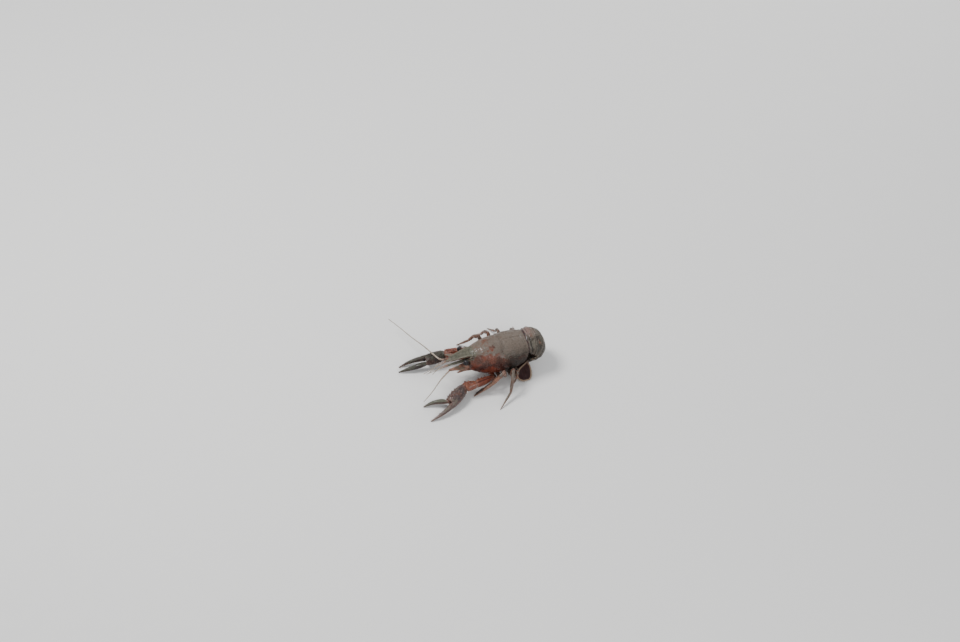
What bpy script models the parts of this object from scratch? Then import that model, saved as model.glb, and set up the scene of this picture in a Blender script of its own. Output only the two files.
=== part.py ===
"""A red swamp crayfish as a still, life-size model.

Blender units are metres. The head points towards -X, +Z is up and the animal's left side is -Y.
The animal stands on small flats at z = 0: both claws, eight walking legs and the tail fan.
Every node is one closed body, and neighbours keep JOINT_GAP between their faces.
"""

import math

import bmesh
import bpy
from mathutils import Matrix, Vector
from mathutils.bvhtree import BVHTree

MM = 0.001
JOINT_GAP = 0.3 * MM

# Driving sizes. The carapace length runs from the tip of the rostrum to the rear edge.
CARAPACE_LENGTH = 52.0 * MM
ROSTRUM_LENGTH = 0.27 * CARAPACE_LENGTH
CARAPACE_HALF_WIDTH = 0.242 * CARAPACE_LENGTH
CARAPACE_RISE = 0.218 * CARAPACE_LENGTH
CARAPACE_DROP = 0.172 * CARAPACE_LENGTH
THORAX_REAR = 0.33 * CARAPACE_LENGTH
THORAX_FRONT = THORAX_REAR - CARAPACE_LENGTH + ROSTRUM_LENGTH
AXIS_HEIGHT = 15.8 * MM
BODY_PITCH = math.radians(3.5)
GROOVE_DEPTH = 0.7 * MM
GROOVE_WIDTH = 1.3 * MM
# Depth of the underside's flat middle, as a share of the drop below the axis.
UNDERSIDE = 0.78
# How far the carapace's rear edge runs forward as it comes down the flank.
REAR_SLANT = 7.0 * MM
# Edges that bend more than this stay sharp.
SHARP_ANGLE = math.radians(45)

SHELL_COLOUR = (0.30, 0.08, 0.05)
TAIL_COLOUR = (0.24, 0.19, 0.15)
CLAW_COLOUR = (0.38, 0.14, 0.09)
LEG_COLOUR = (0.52, 0.24, 0.16)
FEELER_COLOUR = (0.45, 0.24, 0.15)
EYE_COLOUR = (0.03, 0.03, 0.04)
FAN_COLOUR = (0.20, 0.05, 0.05)


def clear_scene():
    for thing in list(bpy.data.objects):
        bpy.data.objects.remove(thing, do_unlink=True)


def material_for(name, colour, roughness):
    """A Principled material with one colour, made once for each name."""
    made = bpy.data.materials.get(name)
    if made is None:
        made = bpy.data.materials.new(name)
        made.use_nodes = True
        shader = made.node_tree.nodes["Principled BSDF"]
        shader.inputs["Base Color"].default_value = (*colour, 1.0)
        shader.inputs["Roughness"].default_value = roughness
        shader.inputs["Metallic"].default_value = 0.0
    return made


def shell_material():
    return material_for("shell", SHELL_COLOUR, 0.45)


def tail_material():
    return material_for("tail_shell", TAIL_COLOUR, 0.5)


def claw_material():
    return material_for("claw_shell", CLAW_COLOUR, 0.5)


def leg_material():
    return material_for("leg_shell", LEG_COLOUR, 0.45)


def feeler_material():
    return material_for("feeler", FEELER_COLOUR, 0.5)


def eye_material():
    return material_for("eye", EYE_COLOUR, 0.15)


def fan_material():
    return material_for("fan", FAN_COLOUR, 0.45)


def body_point(along, side, up):
    """A point of the thorax: along the body towards the tail, towards the animal's left, and up."""
    return Vector((
        along * math.cos(BODY_PITCH) + up * math.sin(BODY_PITCH),
        -side,
        AXIS_HEIGHT - along * math.sin(BODY_PITCH) + up * math.cos(BODY_PITCH),
    ))


def smooth_step(low, high, value):
    share = min(1.0, max(0.0, (value - low) / (high - low)))
    return share * share * (3.0 - 2.0 * share)


def between(stations, at):
    """Values read from a list of (place, value, ...) rows, eased smoothly from row to row."""
    if at <= stations[0][0]:
        return stations[0][1:]
    for low, high in zip(stations, stations[1:]):
        if at <= high[0]:
            share = smooth_step(0.0, 1.0, (at - low[0]) / (high[0] - low[0]))
            share = 0.5 * share + 0.5 * (at - low[0]) / (high[0] - low[0])
            return tuple(a + (b - a) * share for a, b in zip(low[1:], high[1:]))
    return stations[-1][1:]


def skin_rings(name, rings, material):
    """One closed body through rings of equal length, with a fan of triangles on each end."""
    mesh = bpy.data.meshes.new(name)
    bm = bmesh.new()
    rows = [[bm.verts.new(point) for point in ring] for ring in rings]
    count = len(rows[0])
    for row, following in zip(rows, rows[1:]):
        for i in range(count):
            j = (i + 1) % count
            bm.faces.new((row[i], row[j], following[j], following[i]))
    for row in (rows[0], rows[-1]):
        middle = sum((v.co for v in row), Vector()) / count
        centre = bm.verts.new(middle)
        for i in range(count):
            bm.faces.new((row[i], row[(i + 1) % count], centre))
    bmesh.ops.recalc_face_normals(bm, faces=bm.faces)
    bm.to_mesh(mesh)
    bm.free()
    if signed_volume(mesh) < 0.0:
        mesh.flip_normals()
    made = bpy.data.objects.new(name, mesh)
    bpy.context.scene.collection.objects.link(made)
    mesh.materials.append(material)
    mesh.shade_smooth()
    mesh.set_sharp_from_angle(angle=SHARP_ANGLE)
    return made


def signed_volume(mesh):
    mesh.calc_loop_triangles()
    points = [v.co for v in mesh.vertices]
    corners = ([points[i] for i in face.vertices] for face in mesh.loop_triangles)
    return sum(a.dot(b.cross(c)) for a, b, c in corners)


def oval(sides, power=2.0):
    """Unit outline of a rounded section, as (across, up) pairs. A higher power is squarer."""
    points = []
    for i in range(sides):
        angle = 2.0 * math.pi * (i + 0.5) / sides
        c, s = math.cos(angle), math.sin(angle)
        points.append((
            math.copysign(abs(c) ** (2.0 / power), c),
            math.copysign(abs(s) ** (2.0 / power), s),
        ))
    return points


def mitre(arriving, leaving):
    """Normal of the plane in which two runs meet."""
    return (Vector(arriving).normalized() + Vector(leaving).normalized()).normalized()


def sweep_rings(path, sizes, up, outline, start_face=None, end_face=None, gaps=(0.0, 0.0)):
    """Rings along a path of points. Each ring lies in the mitre plane of its bend.

    sizes holds (half width, half height) for each point. start_face and end_face are the normals
    of the planes in which the two ends lie, so that both faces of a joint are parallel.
    """
    points = [Vector(p) for p in path]
    rings = []
    for i, point in enumerate(points):
        arriving = (point - points[i - 1]).normalized() if i else None
        leaving = (points[i + 1] - point).normalized() if i < len(points) - 1 else None
        if i == 0:
            facing = leaving if start_face is None else Vector(start_face).normalized()
        elif leaving is None:
            facing = arriving if end_face is None else Vector(end_face).normalized()
        else:
            facing = mitre(arriving, leaving)
        run = arriving if i else leaving
        across = run.cross(up).normalized()
        upward = across.cross(run).normalized()
        centre = point.copy()
        if i == 0:
            centre += facing * gaps[0]
        if i == len(points) - 1:
            centre -= facing * gaps[1]
        half_width, half_height = sizes[i]
        ring = []
        for a, u in outline:
            offset = across * (a * half_width) + upward * (u * half_height)
            slide = -offset.dot(facing) / run.dot(facing)
            ring.append(centre + offset + run * slide)
        rings.append(ring)
    return rings


def as_object(name, solid_object):
    """The object with its modifiers applied and a name of its own."""
    graph = bpy.context.evaluated_depsgraph_get()
    mesh = bpy.data.meshes.new_from_object(solid_object.evaluated_get(graph))
    solid_object.modifiers.clear()
    solid_object.data = mesh
    solid_object.name = name
    mesh.name = name
    return solid_object


def keep_largest(thing):
    """Leaves only the largest closed surface of the object's mesh."""
    bm = bmesh.new()
    bm.from_mesh(thing.data)
    left = set(bm.faces)
    shells = []
    while left:
        shell = set()
        front = [next(iter(left))]
        while front:
            face = front.pop()
            if face in shell:
                continue
            shell.add(face)
            left.discard(face)
            for edge in face.edges:
                front.extend(f for f in edge.link_faces if f not in shell)
        shells.append(shell)
    shells.sort(key=lambda shell: sum(f.calc_area() for f in shell))
    dropped = [face for shell in shells[:-1] for face in shell]
    if dropped:
        bmesh.ops.delete(bm, geom=dropped, context="FACES")
    bm.to_mesh(thing.data)
    bm.free()


def fuse(base, pieces):
    """Joins closed pieces to a base object with one Boolean union, and removes the pieces."""
    together = bpy.data.collections.new(base.name + "_pieces")
    bpy.context.scene.collection.children.link(together)
    for piece in pieces:
        bpy.context.scene.collection.objects.unlink(piece)
        together.objects.link(piece)
    union = base.modifiers.new("join", "BOOLEAN")
    union.operation = "UNION"
    union.operand_type = "COLLECTION"
    union.collection = together
    union.solver = "MANIFOLD"
    as_object(base.name, base)
    for piece in pieces:
        bpy.data.objects.remove(piece, do_unlink=True)
    bpy.data.collections.remove(together)
    keep_largest(base)
    base.data.shade_smooth()
    base.data.set_sharp_from_angle(angle=SHARP_ANGLE)
    return base


def stand_flat(thing):
    """Cuts the object level at z = 0, so that it rests on a small flat."""
    bm = bmesh.new()
    bm.from_mesh(thing.data)
    cut = bmesh.ops.bisect_plane(
        bm, geom=bm.verts[:] + bm.edges[:] + bm.faces[:], dist=1e-7,
        plane_co=(0.0, 0.0, 0.0), plane_no=(0.0, 0.0, 1.0), clear_inner=True,
    )
    edges = [e for e in cut["geom_cut"] if isinstance(e, bmesh.types.BMEdge)]
    if edges:
        bmesh.ops.holes_fill(bm, edges=[e for e in bm.edges if e.is_boundary])
        bmesh.ops.triangulate(bm, faces=[f for f in bm.faces if len(f.verts) > 4])
    bm.to_mesh(thing.data)
    bm.free()
    return thing


def cone(name, foot, direction, radius, height, material, sides=6, blunt=0.35):
    """A tapered spine or tubercle, with its root sunk below the foot point by one radius."""
    aim = Vector(direction).normalized()
    helper = Vector((0.0, 1.0, 0.0)) if abs(aim.y) < 0.8 else Vector((1.0, 0.0, 0.0))
    stations = ((-0.9 * radius, 1.0), (0.0, 1.0), (0.55 * height, 0.72), (height, blunt))
    path = [Vector(foot) + aim * place for place, _ in stations]
    sizes = [(radius * share, radius * share) for _, share in stations]
    return skin_rings(name, sweep_rings(path, sizes, helper, oval(sides)), material)


def surface_of(thing):
    """A search tree of the object's surface, for setting small forms on it."""
    graph = bpy.context.evaluated_depsgraph_get()
    return BVHTree.FromObject(thing, graph)


def spines_on(thing, places, radius, height, material, lean=None):
    """Tapered forms set where rays aimed from outside meet the surface. places holds (from, to)."""
    tree = surface_of(thing)
    made = []
    for number, (start, target) in enumerate(places):
        start, target = Vector(start), Vector(target)
        aim = (target - start).normalized()
        hit, normal, _, _ = tree.ray_cast(start, aim)
        if hit is None:
            continue
        direction = normal if lean is None else normal + Vector(lean)
        made.append(cone(f"{thing.name}_spine_{number}", hit, direction, radius, height, material))
    return made


# Carapace

# Half of the cross-section from the back's ridge to the underside's middle, as shares of the half
# width and of the rise above or the drop below the body axis.
THORAX_SECTION = (
    (0.0, 1.0), (0.30, 0.955), (0.57, 0.82), (0.79, 0.60), (0.93, 0.33), (1.0, 0.02),
    (0.985, -0.34), (0.93, -0.66), (0.82, -0.92), (0.66, -0.90), (0.33, -0.80), (0.0, -UNDERSIDE),
)

# Place along the body (share of the thorax from its front), half width, rise and drop as shares.
THORAX_STATIONS = (
    (0.00, 0.49, 0.56, 0.56), (0.06, 0.58, 0.64, 0.68), (0.14, 0.69, 0.74, 0.80),
    (0.25, 0.81, 0.85, 0.91), (0.38, 0.90, 0.94, 0.97), (0.52, 0.96, 0.99, 1.00),
    (0.68, 1.00, 1.00, 1.00), (0.84, 0.985, 0.96, 0.94), (1.00, 0.90, 0.86, 0.80),
)


def thorax_size(along):
    """Half width, rise and drop of the thorax at a place along the body."""
    share = (along - THORAX_FRONT) / (THORAX_REAR - THORAX_FRONT)
    width, rise, drop = between(THORAX_STATIONS, share)
    return CARAPACE_HALF_WIDTH * width, CARAPACE_RISE * rise, CARAPACE_DROP * drop


def groove_depth(along, height_share):
    """Depth of the cervical groove, which runs forward as it goes down the flank."""
    middle = 0.5 * MM - 11.0 * MM * smooth_step(0.0, 1.0, (1.0 - height_share) / 1.7)
    fade = smooth_step(-0.95, -0.3, height_share)
    return GROOVE_DEPTH * fade * math.exp(-(((along - middle) / GROOVE_WIDTH) ** 2))


def thorax_ring(along):
    half_width, rise, drop = thorax_size(along)
    sheared = smooth_step(0.0, THORAX_REAR, along)
    ring = []
    section = list(THORAX_SECTION) + [(-a, u) for a, u in THORAX_SECTION[-2:0:-1]]
    for across, up in section:
        height = up * (rise if up > 0.0 else drop)
        inward = groove_depth(along, up)
        scale = 1.0 - inward / half_width
        low = max(0.0, (0.6 - up) / 1.5)
        forward = REAR_SLANT * sheared * low ** 1.2
        ring.append(body_point(along - forward, -across * half_width * scale, height * scale))
    return ring


# Share of the rostrum's length that is sunk in the thorax.
ROSTRUM_ROOTED = 0.42
# Place on the free rostrum of the spine on each of its sides, as a share of its length.
ROSTRUM_SPINE_AT = 0.74
# Number of rings along the thorax and along the rostrum.
THORAX_ROWS = 25
ROSTRUM_ROWS = 11
# Spines of each flank: place along the body, place across and height of the root, radius and
# length. They stand above the eye, below the eye and behind the groove.
FLANK_SPINES = (
    (THORAX_FRONT + 1.2 * MM, 4.8 * MM, 6.2 * MM, 0.6 * MM, 2.2 * MM),
    (THORAX_FRONT + 0.8 * MM, 6.0 * MM, 0.4 * MM, 0.7 * MM, 1.8 * MM),
    (-10.2 * MM, 10.6 * MM, 1.0 * MM, 0.6 * MM, 2.0 * MM),
)
# Share of its distance from the axis at which a flank spine's root is sunk, across and up.
SPINE_SUNK = (0.9, 0.92)


def rostrum_ring(share):
    """A shallow trough: share runs from 0 at the rooted end to 1 at the tip."""
    reach = ROSTRUM_LENGTH / (1.0 - ROSTRUM_ROOTED)
    along = THORAX_FRONT + ROSTRUM_ROOTED * reach - share * reach
    outward = (share - ROSTRUM_ROOTED) / (1.0 - ROSTRUM_ROOTED)
    half_width = between(
        ((-0.8, 3.0 * MM), (0.0, 4.1 * MM), (0.35, 3.1 * MM), (0.72, 2.3 * MM), (0.80, 1.5 * MM),
         (1.0, 0.35 * MM)), outward)[0]
    top = 0.56 * CARAPACE_RISE + 0.45 * MM - 3.1 * MM * max(0.0, outward)
    top -= 1.2 * MM * (max(0.0, -outward) + max(0.0, outward) ** 2)
    thick = 2.3 * MM - 1.5 * MM * max(0.0, outward)
    rim = 0.55 * MM * smooth_step(1.0, 0.6, outward) * smooth_step(-0.3, 0.1, outward)
    outline = (
        (0.0, top - 0.1 * MM), (0.55, top - 0.05 * MM), (0.86, top + rim), (1.0, top + 0.6 * rim),
        (0.93, top - 0.55 * thick), (0.5, top - 0.85 * thick), (0.0, top - thick),
    )
    whole = list(outline) + [(-a, u) for a, u in outline[-2:0:-1]]
    return [body_point(along, -across * half_width, up) for across, up in whole]


def build_carapace():
    reach = THORAX_REAR - THORAX_FRONT
    rings = [thorax_ring(THORAX_FRONT + reach * i / (THORAX_ROWS - 1)) for i in range(THORAX_ROWS)]
    shell = skin_rings("carapace", rings, shell_material())
    rings = [rostrum_ring(i / (ROSTRUM_ROWS - 1)) for i in range(ROSTRUM_ROWS)]
    rostrum = skin_rings("rostrum", rings, shell_material())
    pieces = [rostrum]
    for side in (1, -1):
        for along, across, up, radius, height in FLANK_SPINES:
            foot = body_point(along, side * across * SPINE_SUNK[0], up * SPINE_SUNK[1])
            aim = Vector((-1.0, -side * 0.55, 0.25))
            pieces.append(cone("spine", foot, aim, radius, height, shell_material()))
        share = ROSTRUM_ROOTED + (1.0 - ROSTRUM_ROOTED) * ROSTRUM_SPINE_AT
        foot = max(rostrum_ring(share), key=lambda point: -side * point.y)
        foot.y *= 0.8
        pieces.append(cone(
            "rostrum_spine", foot, (-1.0, -side * 0.4, 0.1), 0.45 * MM, 1.6 * MM, shell_material()))
    return fuse(shell, pieces)


# Sternum

STERNUM_TOP = UNDERSIDE * CARAPACE_DROP + JOINT_GAP
STERNUM_DEPTH = 3.0 * MM
STERNUM_FRONT = -12.5 * MM
STERNUM_REAR = 9.6 * MM
# Place along the body and half width of the lobe that carries each pair of limbs.
STERNUM_LOBES = (
    (-7.8 * MM, 3.5 * MM), (-3.2 * MM, 3.8 * MM), (0.5 * MM, 4.0 * MM), (4.2 * MM, 4.2 * MM),
    (7.9 * MM, 4.3 * MM),
)
STERNUM_LOBE_REACH = 1.35 * MM
STERNUM_NOTCH = 0.7 * MM


def sternum_half_width(along):
    """Half width of the lobe nearest to a place along the body."""
    return min(STERNUM_LOBES, key=lambda lobe: abs(lobe[0] - along))[1]


def sternum_stations():
    """Place and half width of each ring: a flat-sided lobe for each pair of limbs, with notches."""
    stations = [(STERNUM_FRONT, 2.9 * MM)]
    for number, (along, half) in enumerate(STERNUM_LOBES):
        if number:
            before, half_before = STERNUM_LOBES[number - 1]
            stations.append((0.5 * (before + along), half_before - STERNUM_NOTCH))
        stations += [(along - STERNUM_LOBE_REACH, half), (along, half), (along + STERNUM_LOBE_REACH, half)]
    stations.append((STERNUM_REAR + 0.4 * MM, STERNUM_LOBES[-1][1] - STERNUM_NOTCH))
    return stations


def build_sternum():
    rings = []
    for along, half in sternum_stations():
        top = -UNDERSIDE * thorax_size(along)[2] - JOINT_GAP * 1.2
        base = -STERNUM_TOP - STERNUM_DEPTH
        outline = ((0.75, top), (1.0, top - 0.5 * MM), (1.0, base + 0.7 * MM), (0.62, base),
                   (0.14, base + 0.5 * MM))
        whole = list(outline) + [(-a, u) for a, u in reversed(outline)]
        rings.append([body_point(along, -a * half, u) for a, u in whole])
    return skin_rings("sternum", rings, shell_material())


# Abdomen: six ringed plates round a curl

CURL_CENTRE = Vector((19.2 * MM, 0.0, 13.0 * MM))
# Angle above the level, back's radius, half width and height of the arch.
CURL_STATIONS = (
    (-102.0, 9.7 * MM, 7.4 * MM, 4.3 * MM), (-60.0, 9.4 * MM, 8.6 * MM, 4.9 * MM),
    (-30.0, 10.0 * MM, 9.4 * MM, 5.6 * MM), (0.0, 11.3 * MM, 10.0 * MM, 6.6 * MM),
    (30.0, 12.2 * MM, 10.5 * MM, 7.3 * MM), (60.0, 12.6 * MM, 10.8 * MM, 7.7 * MM),
    (95.0, 12.6 * MM, 10.2 * MM, 7.7 * MM),
)
SEGMENT_ANGLES = (95.0, 73.0, 38.0, 4.0, -30.0, -64.0, -101.0)
PLEURON_LENGTH = (2.2 * MM, 2.9 * MM, 2.3 * MM, 1.9 * MM, 1.7 * MM, 1.2 * MM)
# How far the flesh reaches from the hinge line towards the middle of the curl.
FLESH_DEPTH = (3.0 * MM, 2.0 * MM, 1.2 * MM, 0.8 * MM, 0.6 * MM, 0.6 * MM)
PLATE_STEP = 0.32 * MM
# Places of an abdominal plate's rings, as shares of its length.
PLATE_SHARES = (0.0, 0.18, 0.5, 0.82, 1.0)
# Angles of the corners of half an arch, from the ridge to the hinge line.
ARCH_ANGLES = (90.0, 73.0, 56.0, 39.0, 22.0, 6.0)


def curl_point(angle, radius, across, shift=0.0):
    """A point at an angle and radius round the curl, moved along the curl by shift."""
    turn = math.radians(angle)
    outward = Vector((math.cos(turn), 0.0, math.sin(turn)))
    onward = Vector((math.sin(turn), 0.0, -math.cos(turn)))
    return CURL_CENTRE + outward * radius + onward * shift + Vector((0.0, -across, 0.0))


def abdomen_ring(angle, pleuron, flesh, lift, shift):
    radius, half_width, arch = between(CURL_STATIONS, angle)
    hinge = radius - arch
    outline = [
        ((half_width + lift) * math.cos(math.radians(a)),
         hinge + (arch + lift) * math.sin(math.radians(a)))
        for a in ARCH_ANGLES
    ]
    outline += [
        (half_width + lift, hinge - 0.4 * pleuron),
        (half_width + lift - 0.3 * MM, hinge - pleuron),
        (half_width + lift - 1.2 * MM, hinge - pleuron),
        (half_width + lift - 1.9 * MM, hinge - 0.2 * MM),
        (0.62 * half_width, hinge - 0.8 * flesh),
        (0.0, hinge - flesh),
    ]
    whole = outline + [(-a, r) for a, r in outline[-2:0:-1]]
    return [curl_point(angle, r, a, shift) for a, r in whole]


def against_thorax(ring):
    """The ring slid on to a plane that keeps JOINT_GAP behind the carapace's rear edge."""
    rear = body_point(THORAX_REAR + JOINT_GAP, 0.0, 0.0)
    backward = body_point(1.0, 0.0, 0.0) - body_point(0.0, 0.0, 0.0)
    return [p + Vector((1, 0, 0)) * ((rear - p).dot(backward) / backward.x) for p in ring]


def swimmeret(angle, side):
    """A small blade that hangs from a segment's underside into the curl."""
    radius, half_width, arch = between(CURL_STATIONS, angle)
    root = curl_point(angle, radius - arch, side * 0.42 * half_width)
    tip = curl_point(angle - 22.0, radius - arch - 3.6 * MM, side * 0.5 * half_width)
    path = [root, root.lerp(tip, 0.45), root.lerp(tip, 0.8), tip]
    sizes = [(0.8 * MM, 0.5 * MM), (1.0 * MM, 0.45 * MM), (0.8 * MM, 0.35 * MM), (0.3 * MM, 0.25 * MM)]
    onward = curl_point(angle, 0.0, 0.0, 1.0) - CURL_CENTRE
    return skin_rings("swimmeret", sweep_rings(path, sizes, onward, oval(6)), tail_material())


def build_abdomen():
    for number in range(len(PLEURON_LENGTH)):
        start, end = SEGMENT_ANGLES[number], SEGMENT_ANGLES[number + 1]
        rings = []
        for share in PLATE_SHARES:
            angle = start + (end - start) * share
            swell = math.sin(math.pi * min(1.0, max(0.0, 0.08 + 0.84 * share)))
            lift = PLATE_STEP * (share - 0.6)
            shift = 0.5 * JOINT_GAP if share == 0.0 else -0.5 * JOINT_GAP if share == 1.0 else 0.0
            rings.append(abdomen_ring(
                angle, PLEURON_LENGTH[number] * swell, FLESH_DEPTH[number], lift, shift))
        if number == 0:
            rings[0] = against_thorax(rings[0])
        segment = skin_rings(f"abdomen_{number + 1}", rings, tail_material())
        if 1 <= number <= 4:
            middle = 0.5 * (start + end)
            fuse(segment, [swimmeret(middle, side) for side in (1, -1)])


# Tail fan

def plate_rings(root, tip, half_widths, roll, thickness, dip, root_face=None):
    """A thin leaf from root to tip, rolled about its length and bowed down by dip.

    root_face is the normal of the plane in which the root ends.
    """
    run = (tip - root).normalized()
    flat = run.cross(Vector((0.0, 0.0, 1.0))).normalized()
    across = Matrix.Rotation(roll, 3, run) @ flat
    upward = across.cross(run).normalized()
    rings = []
    for share, half in half_widths:
        middle = root.lerp(tip, share) - upward * (dip * math.sin(math.pi * share))
        deep = thickness * (1.0 - 0.45 * share)
        outline = (
            (-1.0, 0.12), (-0.62, 0.62), (-0.12, 0.78), (0.0, 1.12), (0.12, 0.78), (0.62, 0.62),
            (1.0, 0.12), (0.96, -0.30), (0.5, -0.55), (0.0, -0.62), (-0.5, -0.55), (-0.96, -0.30),
        )
        ring = [middle + across * (a * half) + upward * (-u * deep) for a, u in outline]
        if root_face is not None and share == 0.0:
            ring = [p - run * ((p - root).dot(root_face) / run.dot(root_face)) for p in ring]
        rings.append(ring)
    return rings


# Share of the length and half width in millimetres of the side lobes of the fan.
UROPOD_INNER = ((0.0, 0.8), (0.12, 1.2), (0.4, 2.4), (0.7, 2.9), (0.9, 2.4), (1.0, 1.2))
UROPOD_OUTER = ((0.0, 0.8), (0.12, 1.7), (0.38, 4.1), (0.65, 5.2), (0.88, 4.5), (1.0, 2.4))
# Root's radius round the curl and place across, tip's place and height, widths and roll in degrees
# of the side lobes, in millimetres.
FAN_LOBES = {
    "inner": (7.2, 4.7, (4.9, 9.2, 0.35), UROPOD_INNER, 17.0),
    "outer": (6.6, 6.6, (10.1, 15.6, 0.3), UROPOD_OUTER, 21.0),
}
TELSON_WIDTHS = ((0.0, 3.3), (0.12, 3.7), (0.4, 3.9), (0.7, 3.8), (0.9, 3.3), (0.975, 2.4), (1.0, 1.5))
TELSON_TIP = Vector((2.4 * MM, 0.0, 0.22 * MM))
TELSON_THICKNESS = 0.8 * MM
LOBE_THICKNESS = 0.65 * MM


def build_fan():
    end, gap = SEGMENT_ANGLES[-1], 0.5 * JOINT_GAP
    root_place = curl_point(end, 7.6 * MM, 0.0, gap)
    root_face = curl_point(end, 0.0, 0.0, 1.0) - CURL_CENTRE
    telson = plate_rings(
        root_place, TELSON_TIP, [(share, half * MM) for share, half in TELSON_WIDTHS],
        0.0, TELSON_THICKNESS, -0.2 * MM, root_face)
    stand_flat(skin_rings("telson", telson, fan_material()))
    for side, word in ((1, "left"), (-1, "right")):
        for name, (radius, across, tip, widths, roll) in FAN_LOBES.items():
            root = curl_point(end, radius * MM, side * across * MM, gap)
            tip = Vector((tip[0] * MM, -side * tip[1] * MM, tip[2] * MM))
            leaf = plate_rings(
                root, tip, [(share, half * MM) for share, half in widths],
                -side * math.radians(roll), LOBE_THICKNESS, -0.1 * MM, root_face)
            stand_flat(skin_rings(f"uropod_{word}_{name}", leaf, fan_material()))


# Eyes, feelers and mouthparts

EYE_RADIUS = 1.75 * MM
EYE_TILTS = (-72.0, -48.0, -24.0, 0.0, 24.0, 48.0, 72.0)
WHIP_RADII = (0.42 * MM, 0.24 * MM)
FEELER_RADII = (0.72 * MM, 0.28 * MM)
FEELER_STEPS = 4
FACE = THORAX_FRONT - JOINT_GAP
FORWARD = Vector((-math.cos(BODY_PITCH), 0.0, math.sin(BODY_PITCH)))


def build_eye(side, word):
    root = body_point(FACE, side * 3.7 * MM, 3.1 * MM)
    middle = body_point(FACE - 2.7 * MM, side * 6.0 * MM, 4.0 * MM)
    aim = middle - root
    stalk = skin_rings("stalk", sweep_rings(
        [root, root.lerp(middle, 0.5), middle], [(1.0 * MM,) * 2, (1.15 * MM,) * 2, (1.2 * MM,) * 2],
        Vector((0, 0, 1)), oval(10), start_face=FORWARD), eye_material())
    rings = []
    for tilt in EYE_TILTS:
        turn = math.radians(tilt)
        centre = middle + aim.normalized() * (EYE_RADIUS * math.sin(turn))
        flat = aim.normalized().cross(Vector((0, 0, 1))).normalized()
        upward = flat.cross(aim.normalized())
        reach = EYE_RADIUS * math.cos(turn)
        rings.append([centre + flat * (a * reach) + upward * (u * reach) for a, u in oval(12)])
    globe = skin_rings(f"eye_{word}", rings, eye_material())
    return fuse(globe, [stalk])


def feeler(name, path, radii, sides, gap=0.0, start_face=None):
    """A tapering whip along a smooth run of points. radii holds those of its root and its tip."""
    points = [Vector(p) for p in path]
    smooth = []
    for i in range(len(points) - 1):
        a = points[max(0, i - 1)]
        b, c = points[i], points[i + 1]
        d = points[min(len(points) - 1, i + 2)]
        for k in range(FEELER_STEPS):
            t = k / FEELER_STEPS
            smooth.append(0.5 * (
                2.0 * b + (c - a) * t + (2.0 * a - 5.0 * b + 4.0 * c - d) * t * t
                + (3.0 * b - a - 3.0 * c + d) * t ** 3))
    smooth.append(points[-1])
    last = len(smooth) - 1
    sizes = []
    for i in range(last + 1):
        radius = radii[0] + (radii[1] - radii[0]) * (i / last) ** 0.8
        sizes.append((radius, radius))
    rings = sweep_rings(
        smooth, sizes, Vector((0.1, 0.2, 1.0)), oval(sides), start_face, gaps=(gap, 0.0))
    return skin_rings(name, rings, feeler_material())


ANTENNULE_REACH = 14.0 * MM
# Share of its length and radius in millimetres of the antennule's jointed base.
ANTENNULE_SIZES = (
    (0.0, 1.0), (0.08, 1.1), (0.42, 1.05), (0.5, 0.85), (0.7, 0.95), (0.76, 0.75), (0.95, 0.82),
    (1.0, 0.6),
)


def build_antennule(side, word, tips):
    root = body_point(FACE, side * 1.55 * MM, 1.3 * MM)
    joint = body_point(FACE - ANTENNULE_REACH, side * 1.75 * MM, 0.2 * MM)
    base = skin_rings(f"antennule_{word}", sweep_rings(
        [root.lerp(joint, share) for share, _ in ANTENNULE_SIZES],
        [(radius * MM,) * 2 for _, radius in ANTENNULE_SIZES],
        Vector((0, 0, 1)), oval(8), start_face=FORWARD), feeler_material())
    whips = []
    for number, tip in enumerate(tips):
        start = root.lerp(joint, 0.86) + Vector((0.0, (number - 0.5) * 0.5 * MM, 0.0))
        tip = Vector(tip) * MM
        bend = joint.lerp(tip, 0.4) + Vector((0.0, (number - 0.5) * 1.6 * MM, 0.9 * MM))
        whips.append(feeler("whip", [start, bend, tip], WHIP_RADII, 6))
    return fuse(base, whips)


PEDUNCLE_REACH = 12.6 * MM
# Share of its length and radius in millimetres of the jointed base, and of the scale leaf's half width.
PEDUNCLE_SIZES = (
    (0.0, 1.75), (0.10, 1.9), (0.34, 1.75), (0.40, 1.35), (0.66, 1.45), (0.71, 1.1), (1.0, 1.0),
)
SCALE_WIDTHS = ((0.0, 0.8), (0.25, 1.7), (0.6, 1.9), (0.85, 1.2), (1.0, 0.35))


def peduncle_end(side):
    return body_point(FACE - PEDUNCLE_REACH, side * 4.5 * MM, -1.3 * MM)


def build_antenna(side, word, route):
    root = body_point(FACE, side * 4.0 * MM, -1.9 * MM)
    end = peduncle_end(side)
    path = [end] + [Vector(point) * MM for point in route]
    bend = mitre(end - root, path[1] - end)
    base = skin_rings(f"antenna_{word}_base", sweep_rings(
        [root.lerp(end, share) for share, _ in PEDUNCLE_SIZES],
        [(radius * MM, radius * MM) for _, radius in PEDUNCLE_SIZES],
        Vector((0, 0, 1)), oval(10), start_face=FORWARD, end_face=bend), feeler_material())
    scale_root = root.lerp(end, 0.14) + Vector((0.0, -side * 0.9 * MM, 0.4 * MM))
    scale_tip = body_point(FACE - 12.4 * MM, side * 6.2 * MM, 1.4 * MM)
    leaf = plate_rings(
        scale_root, scale_tip, [(share, half * MM) for share, half in SCALE_WIDTHS],
        side * math.radians(-18.0), 0.6 * MM, -0.1 * MM)
    fuse(base, [skin_rings("scale", leaf, feeler_material())])
    feeler(f"antenna_{word}", path, FEELER_RADII, 6, JOINT_GAP, bend)


# Half width and half height in millimetres of the outer jaw, from its root to its tip.
JAW_SIZES = ((1.0, 0.9), (1.25, 1.15), (1.35, 1.2), (1.15, 1.0), (1.0, 0.9), (0.85, 0.75), (0.3, 0.3))


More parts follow.
